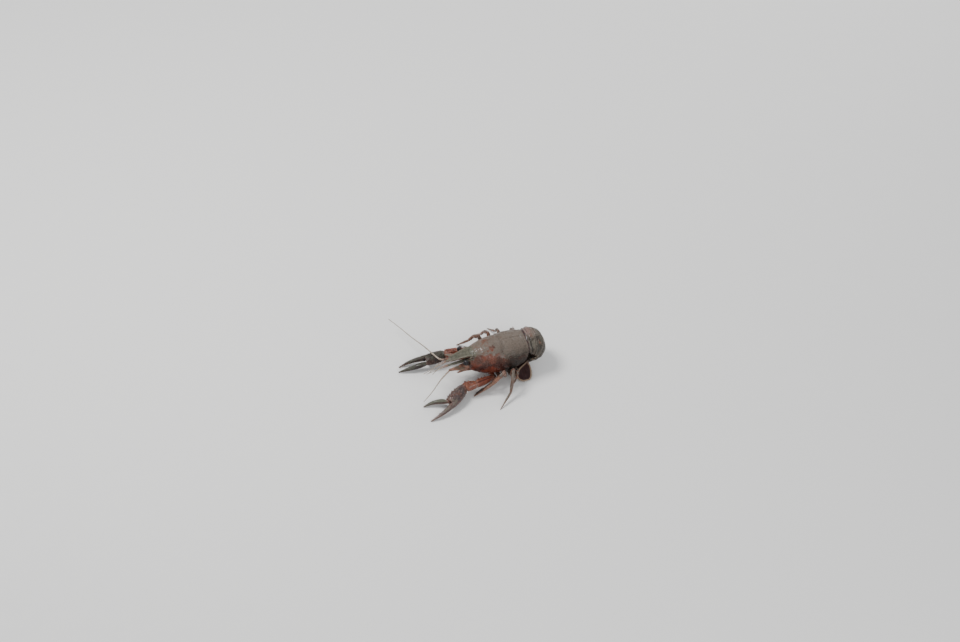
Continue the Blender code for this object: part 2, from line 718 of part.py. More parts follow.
def build_maxilliped(side, word):
    root = body_point(STERNUM_FRONT - JOINT_GAP, side * 1.55 * MM, -STERNUM_TOP - 0.5 * STERNUM_DEPTH)
    knee = body_point(STERNUM_FRONT - 11.0 * MM, side * 2.2 * MM, -6.8 * MM)
    tip = body_point(STERNUM_FRONT - 15.0 * MM, side * 1.5 * MM, -9.4 * MM)
    path = [root, root.lerp(knee, 0.2), root.lerp(knee, 0.6), root.lerp(knee, 0.92),
            knee.lerp(tip, 0.2), knee.lerp(tip, 0.6), tip]
    skin_rings(f"maxilliped_{word}", sweep_rings(
        path, [(w * MM, h * MM) for w, h in JAW_SIZES], Vector((0, 0, 1)), oval(8), FORWARD),
        leg_material())


# Legs and claws

def lean(run, facing):
    """Tangent of the angle between a run and the normal of the plane in which it ends."""
    cosine = min(1.0, abs(Vector(run).normalized().dot(Vector(facing).normalized())))
    return math.sqrt(1.0 - cosine * cosine) / max(cosine, 0.2)


def limb_path(joints, thicknesses, start_face, end_face, waist=0.82):
    """Stations of a run of leg segments: narrow at each joint and fuller between.

    The stations beside a joint keep clear of its slanting end plane.
    """
    runs = [high - low for low, high in zip(joints, joints[1:])]
    faces = [Vector(start_face)] + [mitre(a, b) for a, b in zip(runs, runs[1:])] + [Vector(end_face)]
    path, sizes = [], []
    for i, run in enumerate(runs):
        start, end = thicknesses[i]
        first = max(0.14, 1.15 * max(start) * lean(run, faces[i]) / run.length)
        last = 1.0 - max(0.14, 1.15 * max(end) * lean(run, faces[i + 1]) / run.length)
        first, last = min(first, 0.48), max(last, 0.52)
        for share, swell in ((0.0, waist), (first, 0.98), (0.5 * (first + last), 1.04), (last, 1.02)):
            path.append(joints[i].lerp(joints[i + 1], share))
            sizes.append(tuple(
                (a + (b - a) * share) * swell for a, b in zip(start, end)))
    path.append(joints[-1])
    sizes.append(tuple(size * waist for size in thicknesses[-1][1]))
    return path, sizes


def even(start, end):
    """Equal half width and half height at both ends of a segment, in millimetres."""
    return ((start * MM, start * MM), (end * MM, end * MM))


# Root place along the body, then the hip, knee, shin and foot of each walking leg, in
# millimetres with the side measured outwards from the middle, and the leg's half thickness.
LEFT_LEGS = (
    (-3.2, (-3.3, 10.9, 5.3), (-5.0, 14.2, 8.6), (-12.0, 14.8, 4.2), (-20.5, 15.4, -0.1), 1.3),
    (0.5, (0.4, 11.4, 4.7), (-2.3, 16.2, 14.5), (-10.1, 17.2, 7.4), (-22.4, 16.9, -0.1), 1.5),
    (4.2, (4.1, 11.4, 4.7), (4.0, 16.4, 14.2), (-1.0, 25.2, 4.6), (-10.8, 32.7, -0.1), 1.4),
    (7.9, (8.8, 10.8, 5.5), (7.4, 14.4, 9.6), (5.9, 16.4, 5.0), (1.6, 17.6, -0.1), 1.15),
)
RIGHT_LEGS = (
    (-3.2, (-3.3, 10.9, 5.3), (-6.8, 18.0, 13.6), (-12.0, 22.4, 6.6), (-18.4, 27.0, -0.1), 1.45),
    (0.5, (0.4, 11.4, 4.7), (-0.2, 18.8, 13.4), (-2.8, 25.2, 6.0), (-6.8, 30.6, -0.1), 1.35),
    (4.2, (4.1, 11.4, 4.7), (6.8, 18.4, 12.4), (7.2, 25.0, 5.2), (4.6, 33.4, -0.1), 1.3),
    (7.9, (8.8, 10.8, 5.5), (14.4, 16.8, 11.6), (18.2, 21.4, 5.6), (20.6, 29.0, -0.1), 1.2),
)
KNEE_RISE = 0.9 * MM


def small_pincer(root, middle, tip, side, thick):
    """The second finger of the small pincer that ends the second and third legs."""
    aside = Vector((0.35, side * 1.0, 0.5)).normalized()
    path = [root, middle + aside * 0.9 * MM, tip + aside * 0.75 * MM]
    sizes = [(thick * 0.4 * MM,) * 2, (thick * 0.4 * MM,) * 2, (0.25 * MM,) * 2]
    return skin_rings("pincer", sweep_rings(path, sizes, Vector((0.3, 0, 1)), oval(6)), leg_material())


def build_leg(side, word, number, plan):
    root_along, hip, knee, shin, foot, thick = plan
    half = sternum_half_width(root_along * MM) + JOINT_GAP
    root = body_point(root_along * MM, side * half, -STERNUM_TOP - 0.55 * STERNUM_DEPTH)
    hip, knee, shin, foot = (
        Vector((x * MM, -side * y * MM, z * MM)) for x, y, z in (hip, knee, shin, foot))
    wrist = knee.lerp(shin, 0.42) + Vector((0.0, -side * KNEE_RISE, KNEE_RISE))
    toe = shin.lerp(foot, 0.45)
    outline = oval(8)
    up = Vector((0.3, 0.0, 1.0))
    root_face = Vector((0.0, -side, 0.0))
    knee_face = mitre(knee - hip, wrist - knee)
    path, sizes = limb_path(
        [root, hip, knee], [even(thick, thick), even(thick * 0.95, thick * 1.05)],
        root_face, knee_face)
    skin_rings(f"leg_{word}_{number}_upper", sweep_rings(
        path, sizes, up, outline, root_face, knee_face, gaps=(0.0, 0.5 * JOINT_GAP)),
        leg_material())
    path, sizes = limb_path(
        [knee, wrist, shin, toe],
        [even(thick * 0.95, thick * 0.95), even(thick * 0.86, thick * 0.72),
         even(thick * 0.66, thick * 0.56)],
        knee_face, foot - toe)
    path.append(foot)
    sizes.append((0.27 * MM, 0.27 * MM))
    lower = skin_rings(f"leg_{word}_{number}_lower", sweep_rings(
        path, sizes, up, outline, knee_face, gaps=(0.5 * JOINT_GAP, 0.0)), leg_material())
    if number <= 3:
        fuse(lower, [small_pincer(shin.lerp(toe, 0.75), toe, foot, side, thick)])
    stand_flat(lower)


# Joints of each claw arm in millimetres, with the side measured outwards from the middle.
# The knuckle is the middle of the palm's far end, where the two fingers start.
LEFT_ARM = {
    "hip": (-7.0, 10.7, 5.9), "elbow": (-19.8, 14.0, 8.0), "wrist": (-27.0, 12.9, 6.4),
    "knuckle": (-38.9, 20.0, 4.3), "tip": (-54.4, 26.8, 0.3), "finger_tip": (-54.9, 14.4, 0.5),
    "roll": -14.0, "finger_bow": 1.2,
}
RIGHT_ARM = {
    "hip": (-7.0, 10.8, 5.9), "elbow": (-21.4, 14.6, 8.8), "wrist": (-29.8, 16.0, 7.2),
    "knuckle": (-41.8, 17.5, 4.5), "tip": (-58.8, 21.4, 0.3), "finger_tip": (-60.3, 17.6, 0.5),
    "roll": -10.0, "finger_bow": 0.5,
}
BOTH_ENDS = (0.5 * JOINT_GAP, 0.5 * JOINT_GAP)
PALM_HALF_WIDTH = 4.3 * MM
PALM_HALF_HEIGHT = 3.5 * MM
FORK_OFFSET = 2.3 * MM
THUMB_OFFSET = 2.25 * MM
# Half widths in millimetres of the two fingers, from root to tip.
FIXED_FINGER_WIDTHS = (2.0, 2.05, 1.85, 1.55, 1.2, 0.8, 0.4)
MOVING_FINGER_WIDTHS = (1.25, 1.8, 1.75, 1.5, 1.2, 0.8, 0.4)


def arm_point(plan, name, side):
    x, y, z = plan[name]
    return Vector((x * MM, -side * y * MM, z * MM))


def bowed(start, end, bow, count):
    """Points from start to end, pushed off the straight line by the vector bow."""
    shares = [i / (count - 1) for i in range(count)]
    return [start.lerp(end, s) + bow * math.sin(math.pi * s) for s in shares]


def build_arm(side, word, plan):
    hip, elbow, wrist, knuckle = (
        arm_point(plan, name, side) for name in ("hip", "elbow", "wrist", "knuckle"))
    up = Vector((0.0, 0.0, 1.0))
    root_along = STERNUM_LOBES[0][0]
    half = sternum_half_width(root_along) + JOINT_GAP
    root = body_point(root_along, side * half, -STERNUM_TOP - 0.65 * STERNUM_DEPTH)
    root_face = Vector((0.0, -side, 0.0))
    hip_face = mitre(hip - root, elbow - hip)
    elbow_face = mitre(elbow - hip, wrist - elbow)
    wrist_face = mitre(wrist - elbow, knuckle - wrist)

    path, sizes = limb_path(
        [root, hip], [((1.5 * MM, 1.2 * MM), (1.7 * MM, 1.5 * MM))], root_face, hip_face, 0.9)
    skin_rings(f"cheliped_{word}_ischium", sweep_rings(
        path, sizes, up, oval(10), root_face, hip_face, (0.0, 0.5 * JOINT_GAP)), claw_material())

    path, sizes = limb_path(
        [hip, elbow], [((1.8 * MM, 2.0 * MM), (2.6 * MM, 3.0 * MM))], hip_face, elbow_face, 0.85)
    merus = skin_rings(f"cheliped_{word}_merus", sweep_rings(
        path, sizes, up, oval(12, 2.3), hip_face, elbow_face, BOTH_ENDS), claw_material())
    places = [(hip.lerp(elbow, s) + Vector((0, side * 2.0 * MM, 12 * MM)),
               hip.lerp(elbow, s) + Vector((0, side * 0.9 * MM, 0))) for s in (0.45, 0.65, 0.84)]
    places += [(hip.lerp(elbow, s) + Vector((0, side * 12 * MM, -2 * MM)), hip.lerp(elbow, s))
               for s in (0.55, 0.78)]
    fuse(merus, spines_on(merus, places, 0.5 * MM, 1.1 * MM, claw_material(), (-0.5, 0, 0)))

    path, sizes = limb_path(
        [elbow, wrist], [((2.6 * MM, 2.6 * MM), (3.6 * MM, 3.1 * MM))], elbow_face, wrist_face, 0.84)
    carpus = skin_rings(f"cheliped_{word}_carpus", sweep_rings(
        path, sizes, up, oval(12, 2.3), elbow_face, wrist_face, BOTH_ENDS), claw_material())
    places = [(elbow.lerp(wrist, s) + Vector((0, side * 12 * MM, h * MM)), elbow.lerp(wrist, s))
              for s, h in ((0.5, 2.0), (0.8, 4.0))]
    places += [(elbow.lerp(wrist, s) + Vector((0, side * y * MM, 12 * MM)),
                elbow.lerp(wrist, s) + Vector((0, side * y * MM, 0)))
               for s, y in ((0.35, 0.6), (0.6, 1.4), (0.8, -0.4))]
    fuse(carpus, spines_on(carpus, places, 0.55 * MM, 1.0 * MM, claw_material(), (-0.4, 0, 0)))
    build_claw(side, word, plan, wrist_face)


def build_claw(side, word, plan, wrist_face):
    """The palm with its fixed finger, and the movable finger, of one claw."""
    wrist, knuckle, tip, finger_tip = (
        arm_point(plan, name, side) for name in ("wrist", "knuckle", "tip", "finger_tip"))
    run = (knuckle - wrist).normalized()
    inner = run.cross(Vector((0, 0, 1))).normalized() * side
    rolled = Matrix.Rotation(side * math.radians(plan["roll"]), 3, run) @ Vector((0, 0, 1))
    fork = knuckle - inner * FORK_OFFSET
    slant = lean(run, wrist_face) * PALM_HALF_WIDTH * 0.8 / (knuckle - wrist).length
    shares = ((0.0, 0.62, 0.72), (0.06 + slant, 0.80, 0.86), (0.34, 0.93, 1.0), (0.55, 1.0, 1.0),
              (0.80, 0.98, 0.90), (1.0, 0.86, 0.76))
    palm = skin_rings(f"cheliped_{word}_claw", sweep_rings(
        [wrist.lerp(knuckle, s) for s, _, _ in shares],
        [(PALM_HALF_WIDTH * w, PALM_HALF_HEIGHT * h) for _, w, h in shares],
        rolled, oval(14, 2.2), wrist_face, gaps=(0.5 * JOINT_GAP, 0.0)), claw_material())
    bow = Vector((0.0, -side * 0.9 * MM, 0.35 * MM))
    line = [fork - run * 5.0 * MM] + bowed(fork, tip, bow, 6)
    fixed = skin_rings("fixed_finger", sweep_rings(
        line, [(w * MM, w * 1.05 * MM) for w in FIXED_FINGER_WIDTHS], rolled, oval(8)),
        claw_material())
    spots = []
    for s, height in ((0.16, 2.2), (0.34, 1.2), (0.5, 2.4), (0.66, 1.0), (0.82, 2.0)):
        middle = wrist.lerp(knuckle, s)
        spots.append((middle + inner * 14 * MM + Vector((0, 0, height * MM)), middle))
    for s, aside in ((0.25, 1.0), (0.42, -0.6), (0.58, 1.6), (0.72, 0.0), (0.82, -1.4), (0.84, 1.3)):
        middle = wrist.lerp(knuckle, s) + inner * aside * MM
        spots.append((middle + Vector((0, 0, 12 * MM)), middle))
    bumps = spines_on(palm, spots, 0.55 * MM, 0.75 * MM, claw_material(), run * 0.35)
    teeth = []
    for s in (0.22, 0.38, 0.55):
        middle = fork.lerp(tip, s) + bow * math.sin(math.pi * s)
        teeth.append(cone(
            "tooth", middle + inner * 1.0 * MM, inner, 0.5 * MM, 0.8 * MM, claw_material()))
    stand_flat(fuse(palm, [fixed] + bumps + teeth))

    hinge = knuckle + inner * THUMB_OFFSET + run * JOINT_GAP
    bow = Vector((0.0, side * plan["finger_bow"] * MM, 0.45 * MM))
    line = bowed(hinge, finger_tip, bow, 7)
    finger = skin_rings(f"cheliped_{word}_finger", sweep_rings(
        line, [(w * MM, w * 1.05 * MM) for w in MOVING_FINGER_WIDTHS], rolled, oval(10), run),
        claw_material())
    bumps = []
    for s, sign in ((0.3, 1), (0.5, 1), (0.35, -1), (0.6, -1)):
        middle = hinge.lerp(finger_tip, s) + bow * math.sin(math.pi * s)
        bumps.append(cone(
            "bump", middle + inner * sign * 1.0 * MM, inner * sign, 0.45 * MM, 0.8 * MM,
            claw_material()))
    stand_flat(fuse(finger, bumps))


# Routes of the feelers after their bases, and tips of the small paired ones, in millimetres.
LEFT_FEELER = ((-38.9, -7.0, 15.0), (-42.2, -8.4, 12.9), (-47.9, -11.5, 9.0), (-54.5, -13.9, 4.6))
RIGHT_FEELER = ((-36.6, 7.0, 15.6), (-38.6, 12.4, 14.8), (-41.9, 21.6, 14.0), (-46.3, 31.8, 13.0),
                (-50.2, 43.1, 11.5), (-54.2, 54.3, 9.5))
LEFT_WHIPS = ((-47.5, 0.3, 12.8), (-44.3, -1.7, 13.4))
RIGHT_WHIPS = ((-48.1, 4.6, 8.2), (-44.6, 3.2, 9.6))


def set_on_footprint():
    """Moves every object so that the origin is the middle of the footprint, at the floor."""
    things = [thing for thing in bpy.context.scene.objects if thing.type == "MESH"]
    corners = [v.co for thing in things for v in thing.data.vertices]
    low_x, high_x = min(c.x for c in corners), max(c.x for c in corners)
    low_y, high_y = min(c.y for c in corners), max(c.y for c in corners)
    move = Matrix.Translation((-(low_x + high_x) / 2.0, -(low_y + high_y) / 2.0, 0.0))
    for thing in things:
        thing.data.transform(move)


def main():
    clear_scene()
    build_carapace()
    build_sternum()
    build_abdomen()
    build_fan()
    for side, word in ((1, "left"), (-1, "right")):
        build_eye(side, word)
        build_maxilliped(side, word)
    build_antennule(1, "left", LEFT_WHIPS)
    build_antennule(-1, "right", RIGHT_WHIPS)
    build_antenna(1, "left", LEFT_FEELER)
    build_antenna(-1, "right", RIGHT_FEELER)
    for plans, side, word in ((LEFT_LEGS, 1, "left"), (RIGHT_LEGS, -1, "right")):
        for number, plan in enumerate(plans):
            build_leg(side, word, number + 2, plan)
    build_arm(1, "left", LEFT_ARM)
    build_arm(-1, "right", RIGHT_ARM)
    set_on_footprint()


main()
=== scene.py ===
"""Looks of a life-size red swamp crayfish, laid over its solid parts.

A shell piece starts from its solid part, is made finer and rounder, and gets its granules, rims,
mud film and procedural finish. Joint skins, teeth, eye globes and bristles are added to these.
Lengths are in metres, with +Z up and the head towards -X.
"""

import itertools
import math

import bpy
import numpy as np
from bpy.props import FloatProperty, FloatVectorProperty, IntProperty, PointerProperty
from mathutils import Matrix, Vector
from mathutils.bvhtree import BVHTree
from mathutils.kdtree import KDTree


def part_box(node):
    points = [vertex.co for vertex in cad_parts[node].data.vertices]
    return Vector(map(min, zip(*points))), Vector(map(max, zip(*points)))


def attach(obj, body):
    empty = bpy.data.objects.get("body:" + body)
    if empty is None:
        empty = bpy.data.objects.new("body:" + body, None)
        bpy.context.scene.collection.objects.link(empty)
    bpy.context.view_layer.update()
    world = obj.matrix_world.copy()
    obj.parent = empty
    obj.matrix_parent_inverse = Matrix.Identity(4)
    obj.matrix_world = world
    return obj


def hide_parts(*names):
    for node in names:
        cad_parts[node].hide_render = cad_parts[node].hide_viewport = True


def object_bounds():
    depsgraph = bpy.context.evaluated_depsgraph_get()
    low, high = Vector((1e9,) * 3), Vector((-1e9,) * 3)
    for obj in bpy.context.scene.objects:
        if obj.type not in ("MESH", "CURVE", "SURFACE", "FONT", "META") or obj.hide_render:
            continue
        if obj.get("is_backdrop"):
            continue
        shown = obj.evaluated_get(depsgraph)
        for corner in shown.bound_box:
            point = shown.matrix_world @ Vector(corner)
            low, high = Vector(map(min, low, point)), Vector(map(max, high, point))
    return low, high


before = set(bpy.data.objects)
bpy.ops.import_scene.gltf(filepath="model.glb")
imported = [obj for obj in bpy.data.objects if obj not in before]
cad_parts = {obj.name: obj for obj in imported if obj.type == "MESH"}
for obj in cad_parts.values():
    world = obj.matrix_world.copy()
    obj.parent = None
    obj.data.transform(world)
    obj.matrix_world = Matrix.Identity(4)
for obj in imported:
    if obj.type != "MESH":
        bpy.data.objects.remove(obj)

bl_info = {
    "name": "Crayfish looks",
    "version": (1, 0, 0),
    "blender": (4, 5, 0),
    "location": "3D View > Sidebar > Crayfish",
    "description": "Shell, claws, legs, feelers, eyes and tail fan of a life-size crayfish",
    "category": "Object",
}

MM = 0.001
SIDES = ("left", "right")
IMAGE_WIDTH = 960

BODY_LO, BODY_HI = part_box("carapace")
BODY_LENGTH = BODY_HI.x - BODY_LO.x
THORAX_MIDDLE_Y = 0.5 * (BODY_LO.y + BODY_HI.y)


# Sizes and colours that a user would change

def length(name, description, default):
    return FloatProperty(name=name, description=description, default=default, min=0.0, unit="LENGTH")


def share(name, description, default):
    return FloatProperty(name=name, description=description, default=default, min=0.0, max=1.0,
                         subtype="FACTOR")


def colour(name, description, default):
    return FloatVectorProperty(name=name, description=description, default=default, size=3,
                               min=0.0, max=1.0, subtype="COLOR")


class CrayfishSizes(bpy.types.PropertyGroup):
    body_cell: length("Body cell", "Mesh cell of the carapace", 0.22 * MM)
    plate_cell: length("Plate cell", "Mesh cell of the abdomen's plates", 0.19 * MM)
    claw_cell: length("Claw cell", "Mesh cell of the claws", 0.17 * MM)
    leg_cell: length("Leg cell", "Mesh cell of the walking legs", 0.14 * MM)
    fan_cell: length("Fan cell", "Mesh cell of the thin tail lobes", 0.13 * MM)
    granule_height: length("Granule height", "Height of the flank's granules", 0.17 * MM)
    granule_spacing: length("Granule spacing", "Distance between the flank's granules", 1.0 * MM)
    knob_height: length("Claw knob height", "Height of the claw's rounded knobs", 0.32 * MM)
    knob_spacing: length("Claw knob spacing", "Distance between the claw's knobs", 1.5 * MM)
    mud_depth: length("Mud depth", "Thickness of the mud film on the back", 0.14 * MM)
    ring_pitch: length("Feeler ring pitch", "Length of one ring of a feeler", 0.42 * MM)
    bristle_length: length("Bristle length", "Length of the tail fan's bristles", 1.5 * MM)
    bristle_radius: length("Bristle radius", "Radius of a bristle at its root", 0.045 * MM)
    eye_radius: length("Eye radius", "Radius of the eye's globe", 1.8 * MM)
    smooth_rounds: IntProperty(name="Smoothing rounds", description="Rounds of smoothing of each piece",
                               default=6, min=0, max=40)
    mud_cover: share("Mud cover", "How much of the back the mud film hides", 0.62)


class CrayfishColours(bpy.types.PropertyGroup):
    shell_orange: colour("Shell orange", "Clean flank of the carapace", (0.140, 0.027, 0.012))
    shell_red: colour("Shell red", "Deep red of the flank", (0.040, 0.008, 0.006))
    # This dark colour is the shell's own dark flecks and also painted shade on the lower rear flank, on
    # the tail's rear and over the far claw.
    shell_dark_and_shade: colour("Shell dark", "Olive black of the flank's rear", (0.009, 0.007, 0.005))
    shell_brown: colour("Shell brown", "Pinkish brown of the back", (0.125, 0.066, 0.045))
    shell_pink: colour("Shell pink", "Pale violet patches of the back", (0.190, 0.125, 0.110))
    mud_brown: colour("Mud brown", "Grey-brown mud film", (0.118, 0.097, 0.078))
    mud_green: colour("Mud green", "Grey-green mud film", (0.092, 0.094, 0.067))
    tail_olive: colour("Tail olive", "Plates of the abdomen", (0.036, 0.029, 0.021))
    tail_edge: colour("Tail edge", "Rims of the abdomen's plates", (0.115, 0.068, 0.050))
    claw_orange: colour("Claw orange", "Wrist and arm of the claws", (0.170, 0.056, 0.028))
    claw_pink: colour("Claw pink", "Palm of the claws", (0.100, 0.050, 0.038))
    claw_violet: colour("Claw violet", "Fingers of the claws", (0.066, 0.050, 0.048))
    claw_knob: colour("Claw knob", "Tips of the claw's knobs", (0.075, 0.012, 0.007))
    leg_salmon: colour("Leg salmon", "Pale lower stretches of the legs", (0.225, 0.105, 0.068))
    leg_olive: colour("Leg olive", "Upper stretches of the legs", (0.060, 0.048, 0.036))
    leg_tip: colour("Leg tip", "Horny tips of the legs", (0.028, 0.016, 0.012))
    feeler_red: colour("Feeler red", "Bases of the feelers", (0.165, 0.070, 0.048))
    feeler_pale: colour("Feeler pale", "Whips of the feelers", (0.340, 0.280, 0.215))
    eye_dark: colour("Eye dark", "Globe of the eye", (0.006, 0.005, 0.006))
    eye_grey: colour("Eye grey", "Paler clouds of the eye", (0.020, 0.016, 0.017))
    fan_maroon: colour("Fan maroon", "Lobes of the tail fan", (0.034, 0.005, 0.006))
    fan_edge: colour("Fan edge", "Pale rim of the tail fan", (0.330, 0.240, 0.165))
    skin: colour("Joint skin", "Soft skin in the joints", (0.135, 0.060, 0.038))
    bristle: colour("Bristle", "Bristles of the fan and legs", (0.130, 0.092, 0.062))
    tooth: colour("Tooth", "Teeth along the claws' cutting edges", (0.270, 0.190, 0.130))
    floor: colour("Floor", "Pale floor of the stage", (0.74, 0.73, 0.71))


def sizes():
    return bpy.context.scene.crayfish_sizes


def colours():
    return bpy.context.scene.crayfish_colours


# Mesh helpers

def only(piece):
    """Selects one piece alone and makes it active."""
    bpy.ops.object.select_all(action="DESELECT")
    piece.select_set(True)
    bpy.context.view_layer.objects.active = piece


def new_piece(name, mesh):
    piece = bpy.data.objects.new(name, mesh)
    mesh.name = name
    bpy.context.scene.collection.objects.link(piece)
    return piece


def modified(piece, kind, **values):
    """Adds a modifier with its values and applies it."""
    only(piece)
    modifier = piece.modifiers.new(kind.lower(), kind)
    for key, value in values.items():
        setattr(modifier, key, value)
    bpy.ops.object.modifier_apply(modifier=modifier.name)


# Edges of a solid part that bend more than this stay sharp, by this much, when it is subdivided.
EDGE_KEPT = math.radians(64)
EDGE_CREASE = 0.75
SUBDIVISIONS = 2


def refined(node, name, cell, rounds=None):
    """A finer, rounder copy of a solid part, with even mesh cells. Its sharp edges are creased."""
    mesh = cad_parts[node].data.copy()
    mesh.materials.clear()
    piece = new_piece(name, mesh)
    only(piece)
    bpy.ops.object.mode_set(mode="EDIT")
    bpy.ops.mesh.select_all(action="SELECT")
    bpy.ops.mesh.remove_doubles(threshold=0.01 * MM)
    bpy.ops.mesh.tris_convert_to_quads(face_threshold=math.radians(35), shape_threshold=math.radians(50))
    bpy.ops.mesh.select_all(action="DESELECT")
    bpy.ops.mesh.select_mode(type="EDGE")
    bpy.ops.mesh.edges_select_sharp(sharpness=EDGE_KEPT)
    bpy.ops.transform.edge_crease(value=EDGE_CREASE)
    bpy.ops.mesh.select_mode(type="VERT")
    bpy.ops.object.mode_set(mode="OBJECT")
    modified(piece, "SUBSURF", levels=SUBDIVISIONS, render_levels=SUBDIVISIONS)
    modified(piece, "REMESH", mode="VOXEL", voxel_size=cell, use_smooth_shade=True)
    rounds = sizes().smooth_rounds if rounds is None else rounds
    modified(piece, "SMOOTH", factor=0.5, iterations=rounds)
    return piece


def points_of(piece):
    values = np.empty(len(piece.data.vertices) * 3, np.float32)
    piece.data.vertices.foreach_get("co", values)
    return values.reshape(-1, 3).astype(float)


def normals_of(piece):
    values = np.empty(len(piece.data.vertices) * 3, np.float32)
    piece.data.vertex_normals.foreach_get("vector", values)
    return values.reshape(-1, 3).astype(float)


def surface(piece):
    """Places and outward normals of a piece's points."""
    return points_of(piece), normals_of(piece)


def move_points(piece, points):
    piece.data.vertices.foreach_set("co", points.astype(np.float32).ravel())
    piece.data.update()


def pushed(piece, amount):
    """Moves each point along its normal by its own amount."""
    points, normals = surface(piece)
    move_points(piece, points + normals * amount[:, None])


def write_mask(piece, name, values):
    """Stores one number for each point, from 0 to 1, for the finish to read."""
    layer = piece.data.attributes.get(name) or piece.data.attributes.new(name, "FLOAT", "POINT")
    layer.data.foreach_set("value", np.clip(values, 0.0, 1.0).astype(np.float32))


LATTICE_SIDE = 40
LATTICE = np.random.default_rng(11).random((LATTICE_SIDE,) * 3)


def lumps(points, size):
    """Smooth noise from -1 to 1 whose lumps have the given size."""
    place = points / size + 7.31
    low = np.floor(place).astype(int)
    part = place - low
    part = part * part * (3.0 - 2.0 * part)
    total = np.zeros(len(points))
    for corner in itertools.product((0, 1), repeat=3):
        index = (low + corner) % LATTICE_SIDE
        weight = np.prod(np.where(corner, part, 1.0 - part), axis=1)
        total += weight * LATTICE[index[:, 0], index[:, 1], index[:, 2]]
    return 2.0 * total - 1.0


def layered(points, size):
    """Noise of three sizes added together."""
    total = lumps(points, size) + 0.5 * lumps(points, 0.47 * size) + 0.25 * lumps(points, 0.21 * size)
    return total / 1.75


def eased(low, high, values):
    part = np.clip((values - low) / (high - low), 0.0, 1.0)
    return part * part * (3.0 - 2.0 * part)


def hollows(piece, size, depth):
    """Stores where the surface lies low, in grooves and joints, and where it stands high. The finish
    darkens the low parts as painted shade, partly dirt, and lightens the high ones as wear and painted
    highlight.
    """
    points, normals = surface(piece)
    ends = np.empty(len(piece.data.edges) * 2, np.int32)
    piece.data.edges.foreach_get("vertices", ends)
    first, second = ends.reshape(-1, 2).T
    count = len(points)
    degree = np.maximum(np.bincount(first, minlength=count) + np.bincount(second, minlength=count), 1)
    span = np.median(np.linalg.norm(points[first] - points[second], axis=1))
    soft = points.copy()
    for _ in range(int(min(60, max(4, 2.0 * (size / span) ** 2)))):
        for axis in range(3):
            total = (np.bincount(first, soft[second, axis], count)
                     + np.bincount(second, soft[first, axis], count))
            soft[:, axis] = 0.5 * soft[:, axis] + 0.5 * total / degree
    rise = np.sum((points - soft) * normals, axis=1)
    rise -= np.median(rise)
    write_mask(piece, "low", -rise / depth)
    write_mask(piece, "high", rise / depth)


def scattered(points, allowed, spacing, seed):
    """Numbers of surface points that keep a spacing from each other, where allowed is true."""
    order = np.random.default_rng(seed).permutation(np.flatnonzero(allowed))
    cells = {}
    chosen = []
    for number in order:
        place = points[number]
        cell = tuple(np.floor(place / spacing).astype(int))
        near = (cells.get((cell[0] + a, cell[1] + b, cell[2] + c))
                for a, b, c in itertools.product((-1, 0, 1), repeat=3))
        if any(other is not None and np.sum((place - other) ** 2) < spacing ** 2 for other in near):
            continue
        if cell in cells:
            continue
        cells[cell] = place
        chosen.append(number)
    return np.array(chosen, int)


def raised(piece, seeds, radius, height, seed, mask=None):
    """Raises a rounded knob at each seed point. A negative height makes pits."""
    points = points_of(piece)
    if len(seeds) == 0:
        return
    spread = np.random.default_rng(seed).uniform(0.7, 1.25, len(seeds))
    tree = KDTree(len(seeds))
    for number, place in enumerate(points[seeds]):
        tree.insert(Vector(place), number)
    tree.balance()
    profile = np.zeros(len(points))
    for number, place in enumerate(points):
        _, found, gap = tree.find(place)
        reach = radius * spread[found]
        if gap < reach:
            profile[number] = (1.0 - (gap / reach) ** 2) ** 2 * spread[found]
    pushed(piece, profile * height)
    if mask:
        write_mask(piece, mask, profile)


def solid_tree(*nodes):
    """A search tree of the named solid parts."""
    corners, faces = [], []
    for node in nodes:
        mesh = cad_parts[node].data
        mesh.calc_loop_triangles()
        start = len(corners)
        corners += [v.co.copy() for v in mesh.vertices]
        faces += [[start + i for i in face.vertices] for face in mesh.loop_triangles]
    return BVHTree.FromPolygons(corners, faces)


def nearness(piece, nodes, reach):
    """1 where the piece touches the named solids, falling to 0 at the reach."""
    tree = solid_tree(*nodes)
    gaps = np.array([tree.find_nearest(v.co, reach)[3] or reach for v in piece.data.vertices])
    return 1.0 - np.clip(gaps / reach, 0.0, 1.0)


# Upward share of a face's normal at which mud starts to lie, and at which it lies in full.
MUD_SLOPES = (0.05, 0.92)


def muddied(piece, level, spots=(), depth=None, green=0.0):
    """A mud film on upward faces. Spots, as (place, radius, amount), add to it or take from it."""
    points, normals = surface(piece)
    amount = level * eased(*MUD_SLOPES, normals[:, 2])
    for place, radius, strength in spots:
        gap = np.linalg.norm(points - np.array(place), axis=1)
        amount = amount + strength * (1.0 - eased(0.35 * radius, radius, gap))
    film = eased(0.12, 0.88, amount + 0.45 * layered(points, 3.4 * MM) + 0.22 * lumps(points, 0.8 * MM))
    grains = 0.45 + 0.45 * layered(points, 1.3 * MM) + 0.55 * lumps(points, 0.48 * MM)
    thick = (sizes().mud_depth if depth is None else depth) * grains
    pushed(piece, film * thick)
    write_mask(piece, "mud", film)
    write_mask(piece, "mud_green", np.broadcast_to(green, len(points)))


def roughened(piece, depth, size):
    """Fine unevenness all over."""
    pushed(piece, depth * layered(points_of(piece), size))


def weathered(piece, rough, mud, hollow, **film):
    """Unevenness as (depth, size), mud of a level, and hollows as (size, depth), all in millimetres."""
    roughened(piece, rough[0] * MM, rough[1] * MM)
    muddied(piece, mud, **film)
    hollows(piece, hollow[0] * MM, hollow[1] * MM)


def finished(piece, material, slot, *nodes):
    """Gives the piece its finish and lets it ride in place of its solid parts."""
    piece.data.materials.clear()
    piece.data.materials.append(material)
    piece.data.shade_smooth()
    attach(piece, "root")
    if nodes:
        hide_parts(*nodes)
    return piece


# Finishes: shared node groups

